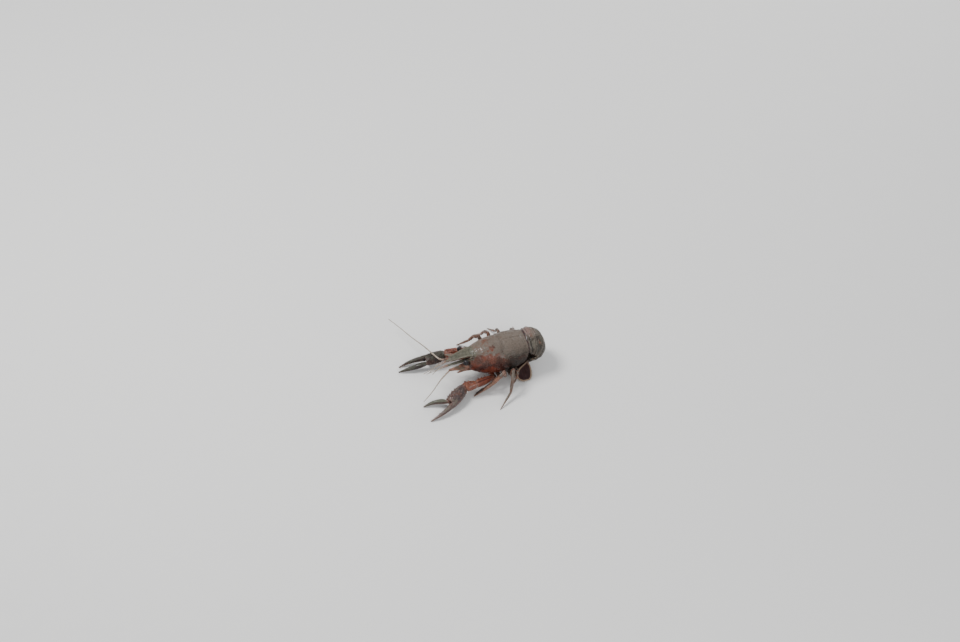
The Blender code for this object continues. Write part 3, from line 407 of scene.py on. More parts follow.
def node_group(name, inputs, outputs):
    """An empty shader group with its inputs, as (kind, name, default), and outputs, as (kind, name)."""
    group = bpy.data.node_groups.new(name, "ShaderNodeTree")
    for kind, label, default in inputs:
        socket = group.interface.new_socket(label, in_out="INPUT", socket_type=f"NodeSocket{kind}")
        socket.default_value = default
    for kind, label in outputs:
        group.interface.new_socket(label, in_out="OUTPUT", socket_type=f"NodeSocket{kind}")
    return group, group.nodes.new("NodeGroupInput"), group.nodes.new("NodeGroupOutput")


def add(tree, kind, **values):
    """A new node with its properties set."""
    node = tree.nodes.new(kind)
    for key, value in values.items():
        setattr(node, key, value)
    return node


def math_node(tree, operation, first, second=None, third=None, clamp=False):
    node = add(tree, "ShaderNodeMath", operation=operation, use_clamp=clamp)
    for socket, value in zip(node.inputs, (first, second, third)):
        if value is None:
            continue
        if isinstance(value, (int, float)):
            socket.default_value = value
        else:
            tree.links.new(value, socket)
    return node.outputs[0]


def mixed(tree, factor, first, second):
    """Mixes two colours, each a socket or three numbers."""
    node = add(tree, "ShaderNodeMix", data_type="RGBA")
    for socket, value in ((node.inputs[0], factor), (node.inputs[6], first), (node.inputs[7], second)):
        if isinstance(value, (int, float)):
            socket.default_value = value
        elif isinstance(value, bpy.types.NodeSocket):
            tree.links.new(value, socket)
        else:
            socket.default_value = (*value, 1.0)
    return node.outputs[2]


def scaled(tree, colour_socket, factor):
    """A colour made lighter or darker by a factor."""
    node = add(tree, "ShaderNodeVectorMath", operation="SCALE")
    tree.links.new(colour_socket, node.inputs[0])
    tree.links.new(factor, node.inputs["Scale"])
    return node.outputs[0]


def toned(tree, result, mask, strength, tone):
    """A colour with a tone laid over it where a mask says, at a strength."""
    return mixed(tree, math_node(tree, "MULTIPLY", mask, strength), result, tone)


def stepped(tree, value, low, high, to_low=0.0, to_high=1.0):
    """Eases a value from one range to another."""
    node = add(tree, "ShaderNodeMapRange", interpolation_type="SMOOTHSTEP")
    tree.links.new(value, node.inputs["Value"])
    ranges = {"From Min": low, "From Max": high, "To Min": to_low, "To Max": to_high}
    for label, number in ranges.items():
        node.inputs[label].default_value = number
    return node.outputs["Result"]


def object_place(tree):
    return add(tree, "ShaderNodeTexCoord").outputs["Object"]


def noise(tree, place, size, detail=3.0, roughness=0.55, warp=0.0):
    """A noise value with features of about the given size in metres."""
    node = add(tree, "ShaderNodeTexNoise", noise_dimensions="3D")
    tree.links.new(place, node.inputs["Vector"])
    node.inputs["Scale"].default_value = 1.0 / size
    node.inputs["Detail"].default_value = detail
    node.inputs["Roughness"].default_value = roughness
    node.inputs["Distortion"].default_value = warp
    return node.outputs["Fac"]


def cells(tree, place, size):
    """Distance from the middle of each of many small cells."""
    node = add(tree, "ShaderNodeTexVoronoi", feature="F1")
    tree.links.new(place, node.inputs["Vector"])
    node.inputs["Scale"].default_value = 1.0 / size
    return node.outputs["Distance"]


def attribute(tree, name):
    node = add(tree, "ShaderNodeAttribute", attribute_type="GEOMETRY", attribute_name=name)
    return node.outputs["Fac"]


def make_mottle_group():
    """Three colours broken up in large clouds and small flecks, as in living shell."""
    group, start, end = node_group(
        "Shell mottle",
        [("Color", "Main", (0.3, 0.1, 0.05, 1.0)), ("Color", "Second", (0.2, 0.1, 0.05, 1.0)),
         ("Color", "Fleck", (0.1, 0.03, 0.02, 1.0)), ("Float", "Second share", 0.5)],
        [("Color", "Colour")])
    place = object_place(group)
    clouds = noise(group, place, 5.5 * MM, 4.0, 0.6, 0.6)
    lean = math_node(group, "MULTIPLY_ADD", start.outputs["Second share"], 0.55, 0.22)
    edge = math_node(group, "SUBTRACT", lean, clouds)
    cloud_mask = stepped(group, edge, -0.10, 0.10)
    base = mixed(group, cloud_mask, start.outputs["Main"], start.outputs["Second"])
    flecks = noise(group, place, 0.75 * MM, 3.0, 0.7, 0.3)
    fleck_mask = stepped(group, flecks, 0.55, 0.72)
    soft = math_node(group, "MULTIPLY", fleck_mask, 0.75)
    result = mixed(group, soft, base, start.outputs["Fleck"])
    tint = stepped(group, noise(group, place, 2.1 * MM, 2.0), 0.3, 0.7, 0.80, 1.18)
    group.links.new(scaled(group, result, tint), end.inputs["Colour"])
    return group


def make_mud_group():
    """The colour, cover and grain of the mud film, from the piece's own mud mask."""
    group, start, end = node_group(
        "Mud film",
        [("Color", "Brown", (0.2, 0.16, 0.12, 1.0)), ("Color", "Green", (0.15, 0.15, 0.1, 1.0)),
         ("Float", "Cover", 1.0)],
        [("Color", "Colour"), ("Float", "Mask"), ("Float", "Height")])
    place = object_place(group)
    stored = attribute(group, "mud")
    broken = noise(group, place, 1.1 * MM, 5.0, 0.65)
    fine = noise(group, place, 0.28 * MM, 2.0, 0.6)
    cover = start.outputs["Cover"]
    film = math_node(
        group, "MULTIPLY_ADD", broken, 0.7, math_node(group, "MULTIPLY_ADD", stored, 1.0, -0.35))
    mask = math_node(group, "MULTIPLY", stepped(group, film, 0.22, 0.80), cover, clamp=True)
    drift = math_node(group, "MULTIPLY_ADD", noise(group, place, 5.0 * MM, 3.0), 0.9, -0.45)
    green = math_node(group, "ADD", attribute(group, "mud_green"), drift)
    tone = mixed(
        group, stepped(group, green, 0.15, 0.85), start.outputs["Brown"], start.outputs["Green"])
    grain = stepped(group, fine, 0.28, 0.72, 0.58, 1.35)
    group.links.new(scaled(group, tone, grain), end.inputs["Colour"])
    group.links.new(mask, end.inputs["Mask"])
    height = math_node(group, "MULTIPLY", mask, math_node(group, "MULTIPLY_ADD", fine, 0.5, broken))
    group.links.new(height, end.inputs["Height"])
    return group


def make_pores_group():
    """Small pits and a fine grain over the shell, as a height from 0 to 1."""
    group, start, end = node_group(
        "Shell pores",
        [("Float", "Pit size", 0.0009), ("Float", "Pit depth", 0.5)],
        [("Float", "Height"), ("Float", "Pit mask")])
    place = object_place(group)
    node = add(group, "ShaderNodeTexVoronoi", feature="F1")
    group.links.new(place, node.inputs["Vector"])
    group.links.new(math_node(group, "DIVIDE", 1.0, start.outputs["Pit size"]), node.inputs["Scale"])
    pit = stepped(group, node.outputs["Distance"], 0.10, 0.30, 1.0, 0.0)
    grain = noise(group, place, 0.22 * MM, 3.0, 0.6)
    deep = math_node(group, "MULTIPLY", pit, start.outputs["Pit depth"])
    height = math_node(group, "SUBTRACT", math_node(group, "MULTIPLY_ADD", grain, 0.35, 0.5), deep)
    group.links.new(height, end.inputs["Height"])
    group.links.new(pit, end.inputs["Pit mask"])
    return group


def make_patch_group():
    """A soft-edged irregular patch round a place on the piece."""
    group, start, end = node_group(
        "Colour patch",
        [("Vector", "Centre", (0.0, 0.0, 0.0)), ("Vector", "Reach", (0.01, 0.01, 0.01))],
        [("Float", "Mask")])
    place = object_place(group)
    away = add(group, "ShaderNodeVectorMath", operation="SUBTRACT")
    group.links.new(place, away.inputs[0])
    group.links.new(start.outputs["Centre"], away.inputs[1])
    reached = add(group, "ShaderNodeVectorMath", operation="DIVIDE")
    group.links.new(away.outputs[0], reached.inputs[0])
    group.links.new(start.outputs["Reach"], reached.inputs[1])
    far = add(group, "ShaderNodeVectorMath", operation="LENGTH")
    group.links.new(reached.outputs[0], far.inputs[0])
    ragged = math_node(group, "MULTIPLY_ADD", noise(group, place, 2.2 * MM, 4.0, 0.6), 0.9, -0.45)
    edge = math_node(group, "ADD", far.outputs["Value"], ragged)
    group.links.new(stepped(group, edge, 0.55, 1.05, 1.0, 0.0), end.inputs["Mask"])
    return group


GROUP_MAKERS = {
    "Shell mottle": make_mottle_group, "Mud film": make_mud_group, "Shell pores": make_pores_group,
    "Colour patch": make_patch_group,
}


def placed_group(tree, name, **values):
    """A shared group placed in a material, with its own values."""
    group = bpy.data.node_groups.get(name) or GROUP_MAKERS[name]()
    node = tree.nodes.new("ShaderNodeGroup")
    node.node_tree = group
    for label, value in values.items():
        socket = node.inputs[label.replace("_", " ")]
        socket.default_value = (*value, 1.0) if socket.type == "RGBA" else value
    return node


# Finishes: the materials

def shell_finish(name, main, second, fleck, second_share, patches=(), masks=(), over=(), mud_cover=1.0,
                 pit_size=0.9 * MM, pit_depth=0.5, wet=0.55, dull=0.0, shine=0.35, relief=0.10 * MM):
    """A wet shell finish: mottled colour, patches, stored masks and a mud film over it.

    patches holds (centre, reach, colour, strength). masks, under the mud, and over, on the mud,
    hold (mask name, colour, strength).
    """
    made = bpy.data.materials.new(name)
    made.use_nodes = True
    tree = made.node_tree
    shader = tree.nodes["Principled BSDF"]
    mottle = placed_group(tree, "Shell mottle", Main=main, Second=second, Fleck=fleck,
                          Second_share=second_share)
    result = mottle.outputs["Colour"]
    for centre, reach, tone, strength in patches:
        patch = placed_group(tree, "Colour patch", Centre=centre, Reach=reach)
        result = toned(tree, result, patch.outputs["Mask"], strength, tone)
    for layer, tone, strength in masks:
        result = toned(tree, result, attribute(tree, layer), strength, tone)
    pores = placed_group(tree, "Shell pores", Pit_size=pit_size, Pit_depth=pit_depth)
    result = toned(tree, result, pores.outputs["Pit mask"], 0.35, fleck)
    mud = placed_group(tree, "Mud film", Brown=colours().mud_brown, Green=colours().mud_green,
                       Cover=mud_cover)
    worn = tuple(min(1.0, 1.7 * value + 0.02) for value in main)
    result = toned(tree, result, attribute(tree, "high"), 0.35, worn)
    result = mixed(tree, mud.outputs["Mask"], result, mud.outputs["Colour"])
    # Raised points of the mud film are lightened: a painted highlight.
    pale = tuple(min(1.0, 1.9 * value) for value in colours().mud_brown)
    result = toned(tree, result, attribute(tree, "high"), 0.16, pale)
    for layer, tone, strength in over:
        result = toned(tree, result, attribute(tree, layer), strength, tone)
    # The low parts are darkened after the mud: painted shade in grooves and joints, partly dirt.
    deep = tuple(0.35 * value for value in fleck)
    result = toned(tree, result, attribute(tree, "low"), 0.6, deep)
    tree.links.new(result, shader.inputs["Base Color"])
    damp = noise(tree, object_place(tree), 2.6 * MM, 3.0)
    clean = stepped(tree, damp, 0.35, 0.65, 0.26 + dull, 0.48 + dull)
    rough = math_node(tree, "MULTIPLY_ADD", mud.outputs["Mask"], 0.24, clean)
    tree.links.new(rough, shader.inputs["Roughness"])
    pools = stepped(tree, damp, 0.30, 0.52, wet, 0.10 * wet)
    coat = math_node(tree, "MULTIPLY_ADD", mud.outputs["Mask"], -0.25 * wet, pools, clamp=True)
    drops = stepped(tree, noise(tree, object_place(tree), 1.1 * MM, 2.0), 0.52, 0.60)
    gleam = math_node(tree, "MULTIPLY", attribute(tree, "wet"), drops)
    coat = math_node(tree, "ADD", coat, gleam, clamp=True)
    tree.links.new(coat, shader.inputs["Coat Weight"])
    shader.inputs["Coat Roughness"].default_value = 0.14
    shader.inputs["Specular IOR Level"].default_value = shine
    bump = add(tree, "ShaderNodeBump")
    bump.inputs["Strength"].default_value = 0.75
    bump.inputs["Distance"].default_value = relief
    height = math_node(tree, "MULTIPLY_ADD", mud.outputs["Height"], 1.1, pores.outputs["Height"])
    tree.links.new(height, bump.inputs["Height"])
    tree.links.new(bump.outputs["Normal"], shader.inputs["Normal"])
    return made


def plain_finish(name, main, second, size, roughness, coat=0.0):
    """A small part's finish: two colours in flecks, with a fine grain."""
    made = bpy.data.materials.new(name)
    made.use_nodes = True
    tree = made.node_tree
    shader = tree.nodes["Principled BSDF"]
    place = object_place(tree)
    value = noise(tree, place, size, 3.0, 0.6)
    result = mixed(tree, stepped(tree, value, 0.40, 0.62), main, second)
    tree.links.new(result, shader.inputs["Base Color"])
    fine = noise(tree, place, 0.25 * size, 2.0)
    rough = stepped(tree, fine, 0.3, 0.7, roughness - 0.08, roughness + 0.08)
    tree.links.new(rough, shader.inputs["Roughness"])
    shader.inputs["Coat Weight"].default_value = coat
    shader.inputs["Coat Roughness"].default_value = 0.08
    bump = add(tree, "ShaderNodeBump")
    bump.inputs["Strength"].default_value = 0.4
    bump.inputs["Distance"].default_value = 0.04 * MM
    tree.links.new(fine, bump.inputs["Height"])
    tree.links.new(bump.outputs["Normal"], shader.inputs["Normal"])
    return made


# Places worked out from the solid parts

MEETING_GAP = 0.42 * MM
# Width of a joint's soft skin as a share of the part's end.
SKIN_FULLNESS = 0.95


def node_points(node):
    values = np.empty(len(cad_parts[node].data.vertices) * 3, np.float32)
    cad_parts[node].data.vertices.foreach_get("co", values)
    return np.unique(np.round(values.reshape(-1, 3).astype(float), 7), axis=0)


def meeting_points(node, other):
    """Corners of a solid part that lie against another part."""
    tree = solid_tree(other)
    return np.array([place for place in node_points(node)
                     if (tree.find_nearest(Vector(place))[3] or 0.0) < MEETING_GAP])


def meeting_middle(node, other):
    return meeting_points(node, other).mean(axis=0)


def end_points(node, direction, slack=0.25 * MM):
    """Corners of a solid part that lie furthest in a direction."""
    points = node_points(node)
    far = points @ np.array(direction)
    return points[far > far.max() - slack]


def axis_of(node, root):
    """Unit run from a root point to the far end of a solid part, and its length."""
    points = node_points(node)
    away = points - root
    far = points[np.argmax(np.linalg.norm(away, axis=1))]
    run = far - root
    reach = np.linalg.norm(run)
    return run / reach, reach


def joint_skin(name, ring, reach):
    """A soft plug whose outline follows the end of a part, sunk into both neighbours."""
    rough_middle = ring.mean(axis=0)
    out = np.linalg.norm(ring - rough_middle, axis=1)
    ring = ring[out > 0.3 * out.max()]
    middle = ring.mean(axis=0)
    _, _, axes = np.linalg.svd(ring - middle)
    first, second, facing = axes
    flat = ring - middle
    angles = np.arctan2(flat @ second, flat @ first)
    radii = np.hypot(flat @ first, flat @ second)
    order = np.argsort(angles)
    bpy.ops.object.select_all(action="DESELECT")
    bpy.ops.mesh.primitive_uv_sphere_add(segments=32, ring_count=14, radius=1.0)
    piece = bpy.context.object
    piece.name = name
    ball = points_of(piece)
    turn = np.arctan2(ball[:, 1], ball[:, 0])
    radius = np.interp(turn, angles[order], radii[order], period=2.0 * math.pi)
    wide = SKIN_FULLNESS * radius * np.clip(1.0 - ball[:, 2] ** 2, 0.0, 1.0) ** 0.22
    points = (middle + np.outer(wide * np.cos(turn), first) + np.outer(wide * np.sin(turn), second)
              + np.outer(ball[:, 2] * reach, facing))
    move_points(piece, points)
    return piece


def joined(pieces, name):
    """Joins several objects into one piece."""
    bpy.ops.object.select_all(action="DESELECT")
    for piece in pieces:
        piece.select_set(True)
    bpy.context.view_layer.objects.active = pieces[0]
    bpy.ops.object.join()
    pieces[0].name = name
    pieces[0].data.name = name
    return pieces[0]


def outward_again(piece):
    """Turns all faces of a closed piece outwards."""
    only(piece)
    bpy.ops.object.mode_set(mode="EDIT")
    bpy.ops.mesh.select_all(action="SELECT")
    bpy.ops.mesh.normals_make_consistent(inside=False)
    bpy.ops.object.mode_set(mode="OBJECT")


BRISTLE_SIDES = 4
BRISTLE_SAG = 0.15
# Size of one bristle's patch on the OFBake map.
BRISTLE_PATCH = 0.003


def bristles(name, roots, directions, lengths, radius):
    """Many thin tapered bristles as one mesh, with OFBake patches by their roots' places from above."""
    stations = ((0.0, 1.0), (0.45, 0.75), (0.8, 0.45), (1.0, 0.12))
    corners, faces, patches = [], [], []
    low, high = np.min(roots, axis=0), np.max(roots, axis=0)
    spread = np.where(high - low > 1e-6, high - low, 1.0)
    for root, aim, reach in zip(roots, directions, lengths):
        aim = aim / np.linalg.norm(aim)
        helper = np.array((0.0, 0.0, 1.0)) if abs(aim[2]) < 0.9 else np.array((1.0, 0.0, 0.0))
        side = np.cross(aim, helper)
        side /= np.linalg.norm(side)
        up = np.cross(side, aim)
        start = len(corners)
        for along, thick in stations:
            middle = root + aim * (along * reach - 0.12 * reach)
            middle = middle - up * (BRISTLE_SAG * reach * along ** 2)
            for k in range(BRISTLE_SIDES):
                turn = 2.0 * math.pi * k / BRISTLE_SIDES
                corners.append(middle + (side * math.cos(turn) + up * math.sin(turn)) * (radius * thick))
        for ring in range(len(stations) - 1):
            for k in range(BRISTLE_SIDES):
                a = start + ring * BRISTLE_SIDES + k
                b = start + ring * BRISTLE_SIDES + (k + 1) % BRISTLE_SIDES
                faces.append((a, b, b + BRISTLE_SIDES, a + BRISTLE_SIDES))
        last = start + (len(stations) - 1) * BRISTLE_SIDES
        faces.append(tuple(start + k for k in reversed(range(BRISTLE_SIDES))))
        faces.append(tuple(last + k for k in range(BRISTLE_SIDES)))
        flat = (root - low) / spread
        patches += [(0.02 + 0.95 * flat[0], 0.02 + 0.95 * flat[1])] * (
            BRISTLE_SIDES * len(stations))
    mesh = bpy.data.meshes.new(name)
    mesh.from_pydata([tuple(c) for c in corners], [], faces)
    layer = mesh.uv_layers.new(name="OFBake")
    for loop in mesh.loops:
        u, v = patches[loop.vertex_index]
        corner = loop.vertex_index % (BRISTLE_SIDES * len(stations))
        layer.data[loop.index].uv = (u + BRISTLE_PATCH * (corner % BRISTLE_SIDES) / BRISTLE_SIDES,
                                     v + BRISTLE_PATCH * (corner // BRISTLE_SIDES) / len(stations))
    piece = new_piece(name, mesh)
    outward_again(piece)
    return piece


def bristles_on(name, piece, allowed, spacing, reach, seed, lean=(0.0, 0.0, 0.0), radius=None):
    """Bristles on the allowed points of a piece, standing along its normals and leaning one way."""
    points, normals = surface(piece)
    chosen = scattered(points, allowed, spacing, seed)
    if len(chosen) == 0:
        raise RuntimeError(f"no place for bristles on {piece.name}")
    rng = np.random.default_rng(seed)
    aims = normals[chosen] + np.array(lean) + rng.normal(0.0, 0.18, (len(chosen), 3))
    lengths = reach * rng.uniform(0.6, 1.1, len(chosen))
    radius = sizes().bristle_radius if radius is None else radius
    made = bristles(name, points[chosen], aims, lengths, radius)
    tips = points_of(made)
    tips[:, 2] = np.maximum(tips[:, 2], 0.03 * MM)
    move_points(made, tips)
    return made


# Operators: one for each piece or group of like pieces

# Each abdominal plate has a cross furrow behind its front edge and a low welt along its rear edge.
PLATE_REACH = 6.0 * MM
FURROW_PLACE = 1.9 * MM
FURROW_DEPTH = 0.22 * MM
WELT_HEIGHT = 0.16 * MM
# The fine seam along the middle of the carapace's rear back.
SEAM_HALF_WIDTH = 0.28 * MM
SEAM_DEPTH = 0.16 * MM
# The ribs along each lobe of the tail fan.
RIB_HEIGHT = 0.045 * MM
RIB_PITCH = 0.95 * MM


class CRAYFISH_OT_carapace(bpy.types.Operator):
    """Make the carapace with its rostrum, spines, groove, granules and mud"""
    bl_idname = "crayfish.carapace"
    bl_label = "Carapace"

    def execute(self, context):
        size, paint = sizes(), colours()
        piece = refined("carapace", "carapace_shell", size.body_cell)
        points, normals = surface(piece)
        axis_height = BODY_LO.z + 0.45 * (BODY_HI.z - BODY_LO.z)
        flank = (normals[:, 2] < 0.55) & (np.abs(normals[:, 0]) < 0.8)
        granules = scattered(points, flank, size.granule_spacing, 3)
        raised(piece, granules, 0.42 * size.granule_spacing, size.granule_height, 5, "knob")
        back = (points[:, 2] > axis_height) & (normals[:, 2] > 0.45)
        pits = scattered(points, back, 1.25 * size.granule_spacing, 9)
        raised(piece, pits, 0.30 * size.granule_spacing, -0.45 * size.granule_height, 7)
        points, normals = surface(piece)
        seam = np.exp(-((points[:, 1] - THORAX_MIDDLE_Y) / SEAM_HALF_WIDTH) ** 2)
        seam *= eased(BODY_HI.x - 17.0 * MM, BODY_HI.x - 14.0 * MM, points[:, 0]) * (normals[:, 2] > 0.5)
        pushed(piece, -SEAM_DEPTH * seam)
        roughened(piece, 0.07 * MM, 1.6 * MM)
        rostrum = (BODY_LO.x + 0.20 * BODY_LENGTH, THORAX_MIDDLE_Y, BODY_HI.z)
        saddle = (BODY_HI.x - 0.24 * BODY_LENGTH, THORAX_MIDDLE_Y, BODY_HI.z)
        forehead = (BODY_LO.x + 0.45 * BODY_LENGTH, THORAX_MIDDLE_Y, BODY_HI.z - 1.0 * MM)
        cheek = (BODY_LO.x + 0.46 * BODY_LENGTH, BODY_LO.y + 0.5 * MM, 13.5 * MM)
        near_shoulder = (BODY_HI.x - 7.0 * MM, THORAX_MIDDLE_Y - 7.0 * MM, 20.5 * MM)
        far_shoulder = (BODY_HI.x - 7.0 * MM, THORAX_MIDDLE_Y + 7.0 * MM, 20.5 * MM)
        near_low = (BODY_HI.x - 9.0 * MM, BODY_LO.y, 11.0 * MM)
        temple = (BODY_LO.x + 0.40 * BODY_LENGTH, THORAX_MIDDLE_Y - 5.0 * MM, BODY_HI.z - 2.0 * MM)
        brow = (BODY_LO.x + 0.42 * BODY_LENGTH, THORAX_MIDDLE_Y - 7.0 * MM, 17.5 * MM)
        front = 1.0 - eased(BODY_LO.x + 0.26 * BODY_LENGTH, BODY_LO.x + 0.44 * BODY_LENGTH, points[:, 0])
        muddied(piece, size.mud_cover, (
            (rostrum, 13.0 * MM, 0.50), (saddle, 12.0 * MM, 0.25), (forehead, 9.0 * MM, -0.10),
            (cheek, 12.5 * MM, -0.70), (near_shoulder, 12.0 * MM, 0.40), (far_shoulder, 13.0 * MM, 0.30),
            (near_low, 10.0 * MM, -0.9), (brow, 8.5 * MM, -0.70)), green=front)
        # Painted shade on the sideways faces of the rear flank, partly dark wet mud. It is laid under
        # the mud and again over it.
        rear_shade = BODY_HI.x - points[:, 0] + 2.5 * MM * layered(points, 5.0 * MM)
        sideways = 1.0 - eased(0.35, 0.85, normals_of(piece)[:, 2])
        uneven = 0.75 + 0.35 * layered(points, 3.0 * MM)
        write_mask(piece, "rear_shade", (1.0 - eased(12.0 * MM, 22.0 * MM, rear_shade)) * sideways * uneven)
        ragged_height = points[:, 2] + 2.0 * MM * layered(points, 4.0 * MM)
        write_mask(piece, "upper", eased(15.5 * MM, 20.0 * MM, ragged_height))
        clouds = layered(points + 3.1 * MM, 6.5 * MM)
        write_mask(piece, "stain", (1.0 - sideways) * eased(0.50, 0.72, clouds))
        write_mask(piece, "wet", 1.0 - eased(4.0 * MM, 9.0 * MM, np.linalg.norm(
            points - np.array(temple), axis=1)))
        hollows(piece, 1.1 * MM, 0.16 * MM)
        write_mask(piece, "rim", nearness(piece, ["abdomen_1"], 1.1 * MM))
        patches = (
            ((BODY_LO.x + 0.46 * BODY_LENGTH, BODY_LO.y, 10.0 * MM), (9.0 * MM, 7.0 * MM, 5.5 * MM),
             paint.shell_orange, 0.9),
            # Painted shade on the lower rear flank of both sides, under the curled abdomen, partly dark
            # wet mud.
            ((BODY_HI.x - 6.5 * MM, BODY_LO.y + 2.0 * MM, 10.5 * MM), (13.0 * MM, 9.0 * MM, 9.5 * MM),
             paint.shell_dark_and_shade, 0.90),
            ((BODY_HI.x - 6.5 * MM, BODY_HI.y - 2.0 * MM, 10.5 * MM), (13.0 * MM, 9.0 * MM, 9.5 * MM),
             paint.shell_dark_and_shade, 0.90),
            ((BODY_LO.x + 0.40 * BODY_LENGTH, THORAX_MIDDLE_Y, BODY_HI.z),
             (8.5 * MM, 9.0 * MM, 6.0 * MM), paint.shell_brown, 0.9),
            ((BODY_HI.x - 0.20 * BODY_LENGTH, THORAX_MIDDLE_Y + 1.0 * MM, BODY_HI.z),
             (12.0 * MM, 9.0 * MM, 6.0 * MM), paint.shell_brown, 0.8),
            ((BODY_HI.x - 7.0 * MM, THORAX_MIDDLE_Y + 3.0 * MM, BODY_HI.z - 0.5 * MM),
             (3.5 * MM, 4.0 * MM, 3.0 * MM), paint.shell_pink, 0.85),
        )
        # The rear mask paints shade on the rear flank with the dark colour, both under and over the mud.
        finish = shell_finish(
            "carapace_finish", paint.shell_red, paint.shell_orange, paint.shell_dark_and_shade, 0.5,
            patches, (("rear_shade", paint.shell_dark_and_shade, 0.88), ("upper", paint.shell_brown, 0.38),
                      ("knob", paint.shell_brown, 0.45), ("rim", paint.shell_dark_and_shade, 0.5)),
            (("rear_shade", paint.shell_dark_and_shade, 0.85), ("stain", paint.shell_pink, 0.35)), mud_cover=0.9,
            wet=0.36, shine=0.20)
        finished(piece, finish, "shell", "carapace")
        return {"FINISHED"}


class CRAYFISH_OT_sternum(bpy.types.Operator):
    """Make the plate that carries the legs"""
    bl_idname = "crayfish.sternum"
    bl_label = "Sternum"

    def execute(self, context):
        paint = colours()
        piece = refined("sternum", "sternum_plate", sizes().plate_cell)
        roughened(piece, 0.20 * MM, 2.2 * MM)
        points, normals = surface(piece)
        seeds = scattered(points, normals[:, 2] > -0.6, 1.1 * MM, 51)
        raised(piece, seeds, 0.34 * MM, 0.10 * MM, 53, "knob")
        muddied(piece, 0.30, depth=0.06 * MM, green=0.4)
        hollows(piece, 0.9 * MM, 0.12 * MM)
        finish = shell_finish("sternum_finish", paint.skin, paint.leg_olive, paint.shell_red, 0.5,
                              masks=(("knob", paint.leg_salmon, 0.6),), mud_cover=0.8, pit_depth=0.6,
                              dull=0.1)
        finished(piece, finish, "shell", "sternum")
        return {"FINISHED"}


class CRAYFISH_OT_abdomen(bpy.types.Operator):
    """Make the six ringed plates of the curled abdomen"""
    bl_idname = "crayfish.abdomen"
    bl_label = "Abdomen"

    def execute(self, context):
        size, paint = sizes(), colours()
        lo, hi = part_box("abdomen_3")
        around = [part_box(f"abdomen_{number}") for number in range(2, 6)]
        curl = Vector((min(box[0].x for box in around) + 1.0 * MM, THORAX_MIDDLE_Y, 13.0 * MM))
        pink_place = (lo.x - 2.0 * MM, THORAX_MIDDLE_Y + 4.0 * MM, 25.0 * MM)
        patches = (
            ((lo.x + 1.0 * MM, THORAX_MIDDLE_Y + 3.0 * MM, 25.0 * MM), (5.0 * MM, 8.0 * MM, 4.0 * MM),
             paint.shell_brown, 0.85),
            (pink_place, (5.0 * MM, 7.0 * MM, 4.0 * MM), paint.shell_pink, 0.65),
            # Painted shade on the rear of the curled tail, below the plates' edges.
            ((hi.x, THORAX_MIDDLE_Y, 13.0 * MM), (5.0 * MM, 12.0 * MM, 4.5 * MM), paint.shell_dark_and_shade, 0.7),
            ((hi.x - 3.0 * MM, THORAX_MIDDLE_Y, 5.0 * MM), (10.0 * MM, 12.0 * MM, 5.0 * MM),
             paint.shell_red, 0.6),
        )
        finish = shell_finish(
            "abdomen_finish", paint.tail_olive, paint.shell_brown, paint.shell_dark_and_shade, 0.35,
            patches, (("rim", paint.tail_edge, 0.45), ("front", paint.shell_dark_and_shade, 0.45),
                      ("lobe", paint.fan_edge, 0.75)),
            (("stain", paint.tail_olive, 0.5),), mud_cover=0.78, pit_size=0.8 * MM,
            wet=0.40, shine=0.24)
        for number in range(1, 7):
            node = f"abdomen_{number}"
            piece = refined(node, f"abdomen_plate_{number}", size.plate_cell)
            following = f"abdomen_{number + 1}" if number < 6 else "telson"
            before = f"abdomen_{number - 1}" if number > 1 else "carapace"
            points, normals = surface(piece)
            outward = np.sum((points - np.array(curl))[:, (0, 2)] * normals[:, (0, 2)], axis=1) > 0.0
            from_front = PLATE_REACH * (1.0 - nearness(piece, [before], PLATE_REACH))
            from_rear = PLATE_REACH * (1.0 - nearness(piece, [following], PLATE_REACH))
            furrow = -FURROW_DEPTH * np.exp(-((from_front - FURROW_PLACE) / (0.35 * MM)) ** 2)
            welt = WELT_HEIGHT * np.exp(-((from_rear - 0.55 * MM) / (0.45 * MM)) ** 2)
            pushed(piece, outward * (furrow + welt))
            roughened(piece, 0.06 * MM, 1.4 * MM)
            points, normals = surface(piece)
            pits = scattered(points, normals[:, 0] > -0.3, 0.95 * MM, 41 + number)
            raised(piece, pits, 0.28 * MM, -0.06 * MM, 43)
            muddied(piece, 0.50 if number < 4 else 0.25, ((pink_place, 8.0 * MM, -0.30),), green=0.35)
            write_mask(piece, "stain", eased(0.48, 0.70, layered(points, 4.5 * MM)))
            hollows(piece, 1.0 * MM, 0.14 * MM)
            away = np.hypot(points[:, 0] - curl.x, points[:, 2] - curl.z)
            aside = np.abs(points[:, 1] - THORAX_MIDDLE_Y)
            lowest = away[aside > 0.82 * aside.max()].min()
            write_mask(piece, "lobe", (1.0 - eased(0.25 * MM, 0.85 * MM, away - lowest)) * eased(
                0.72 * aside.max(), 0.84 * aside.max(), aside))
            write_mask(piece, "rim", nearness(piece, [following], 1.3 * MM))
            write_mask(piece, "front", nearness(piece, [before], 0.9 * MM))
            finished(piece, finish, "tail_shell", node)
        return {"FINISHED"}


def lobe_normal(points):
    """Unit normal of a thin lobe, from its spread of points."""
    _, _, axes = np.linalg.svd(points - points.mean(axis=0), full_matrices=False)
    return axes[2]


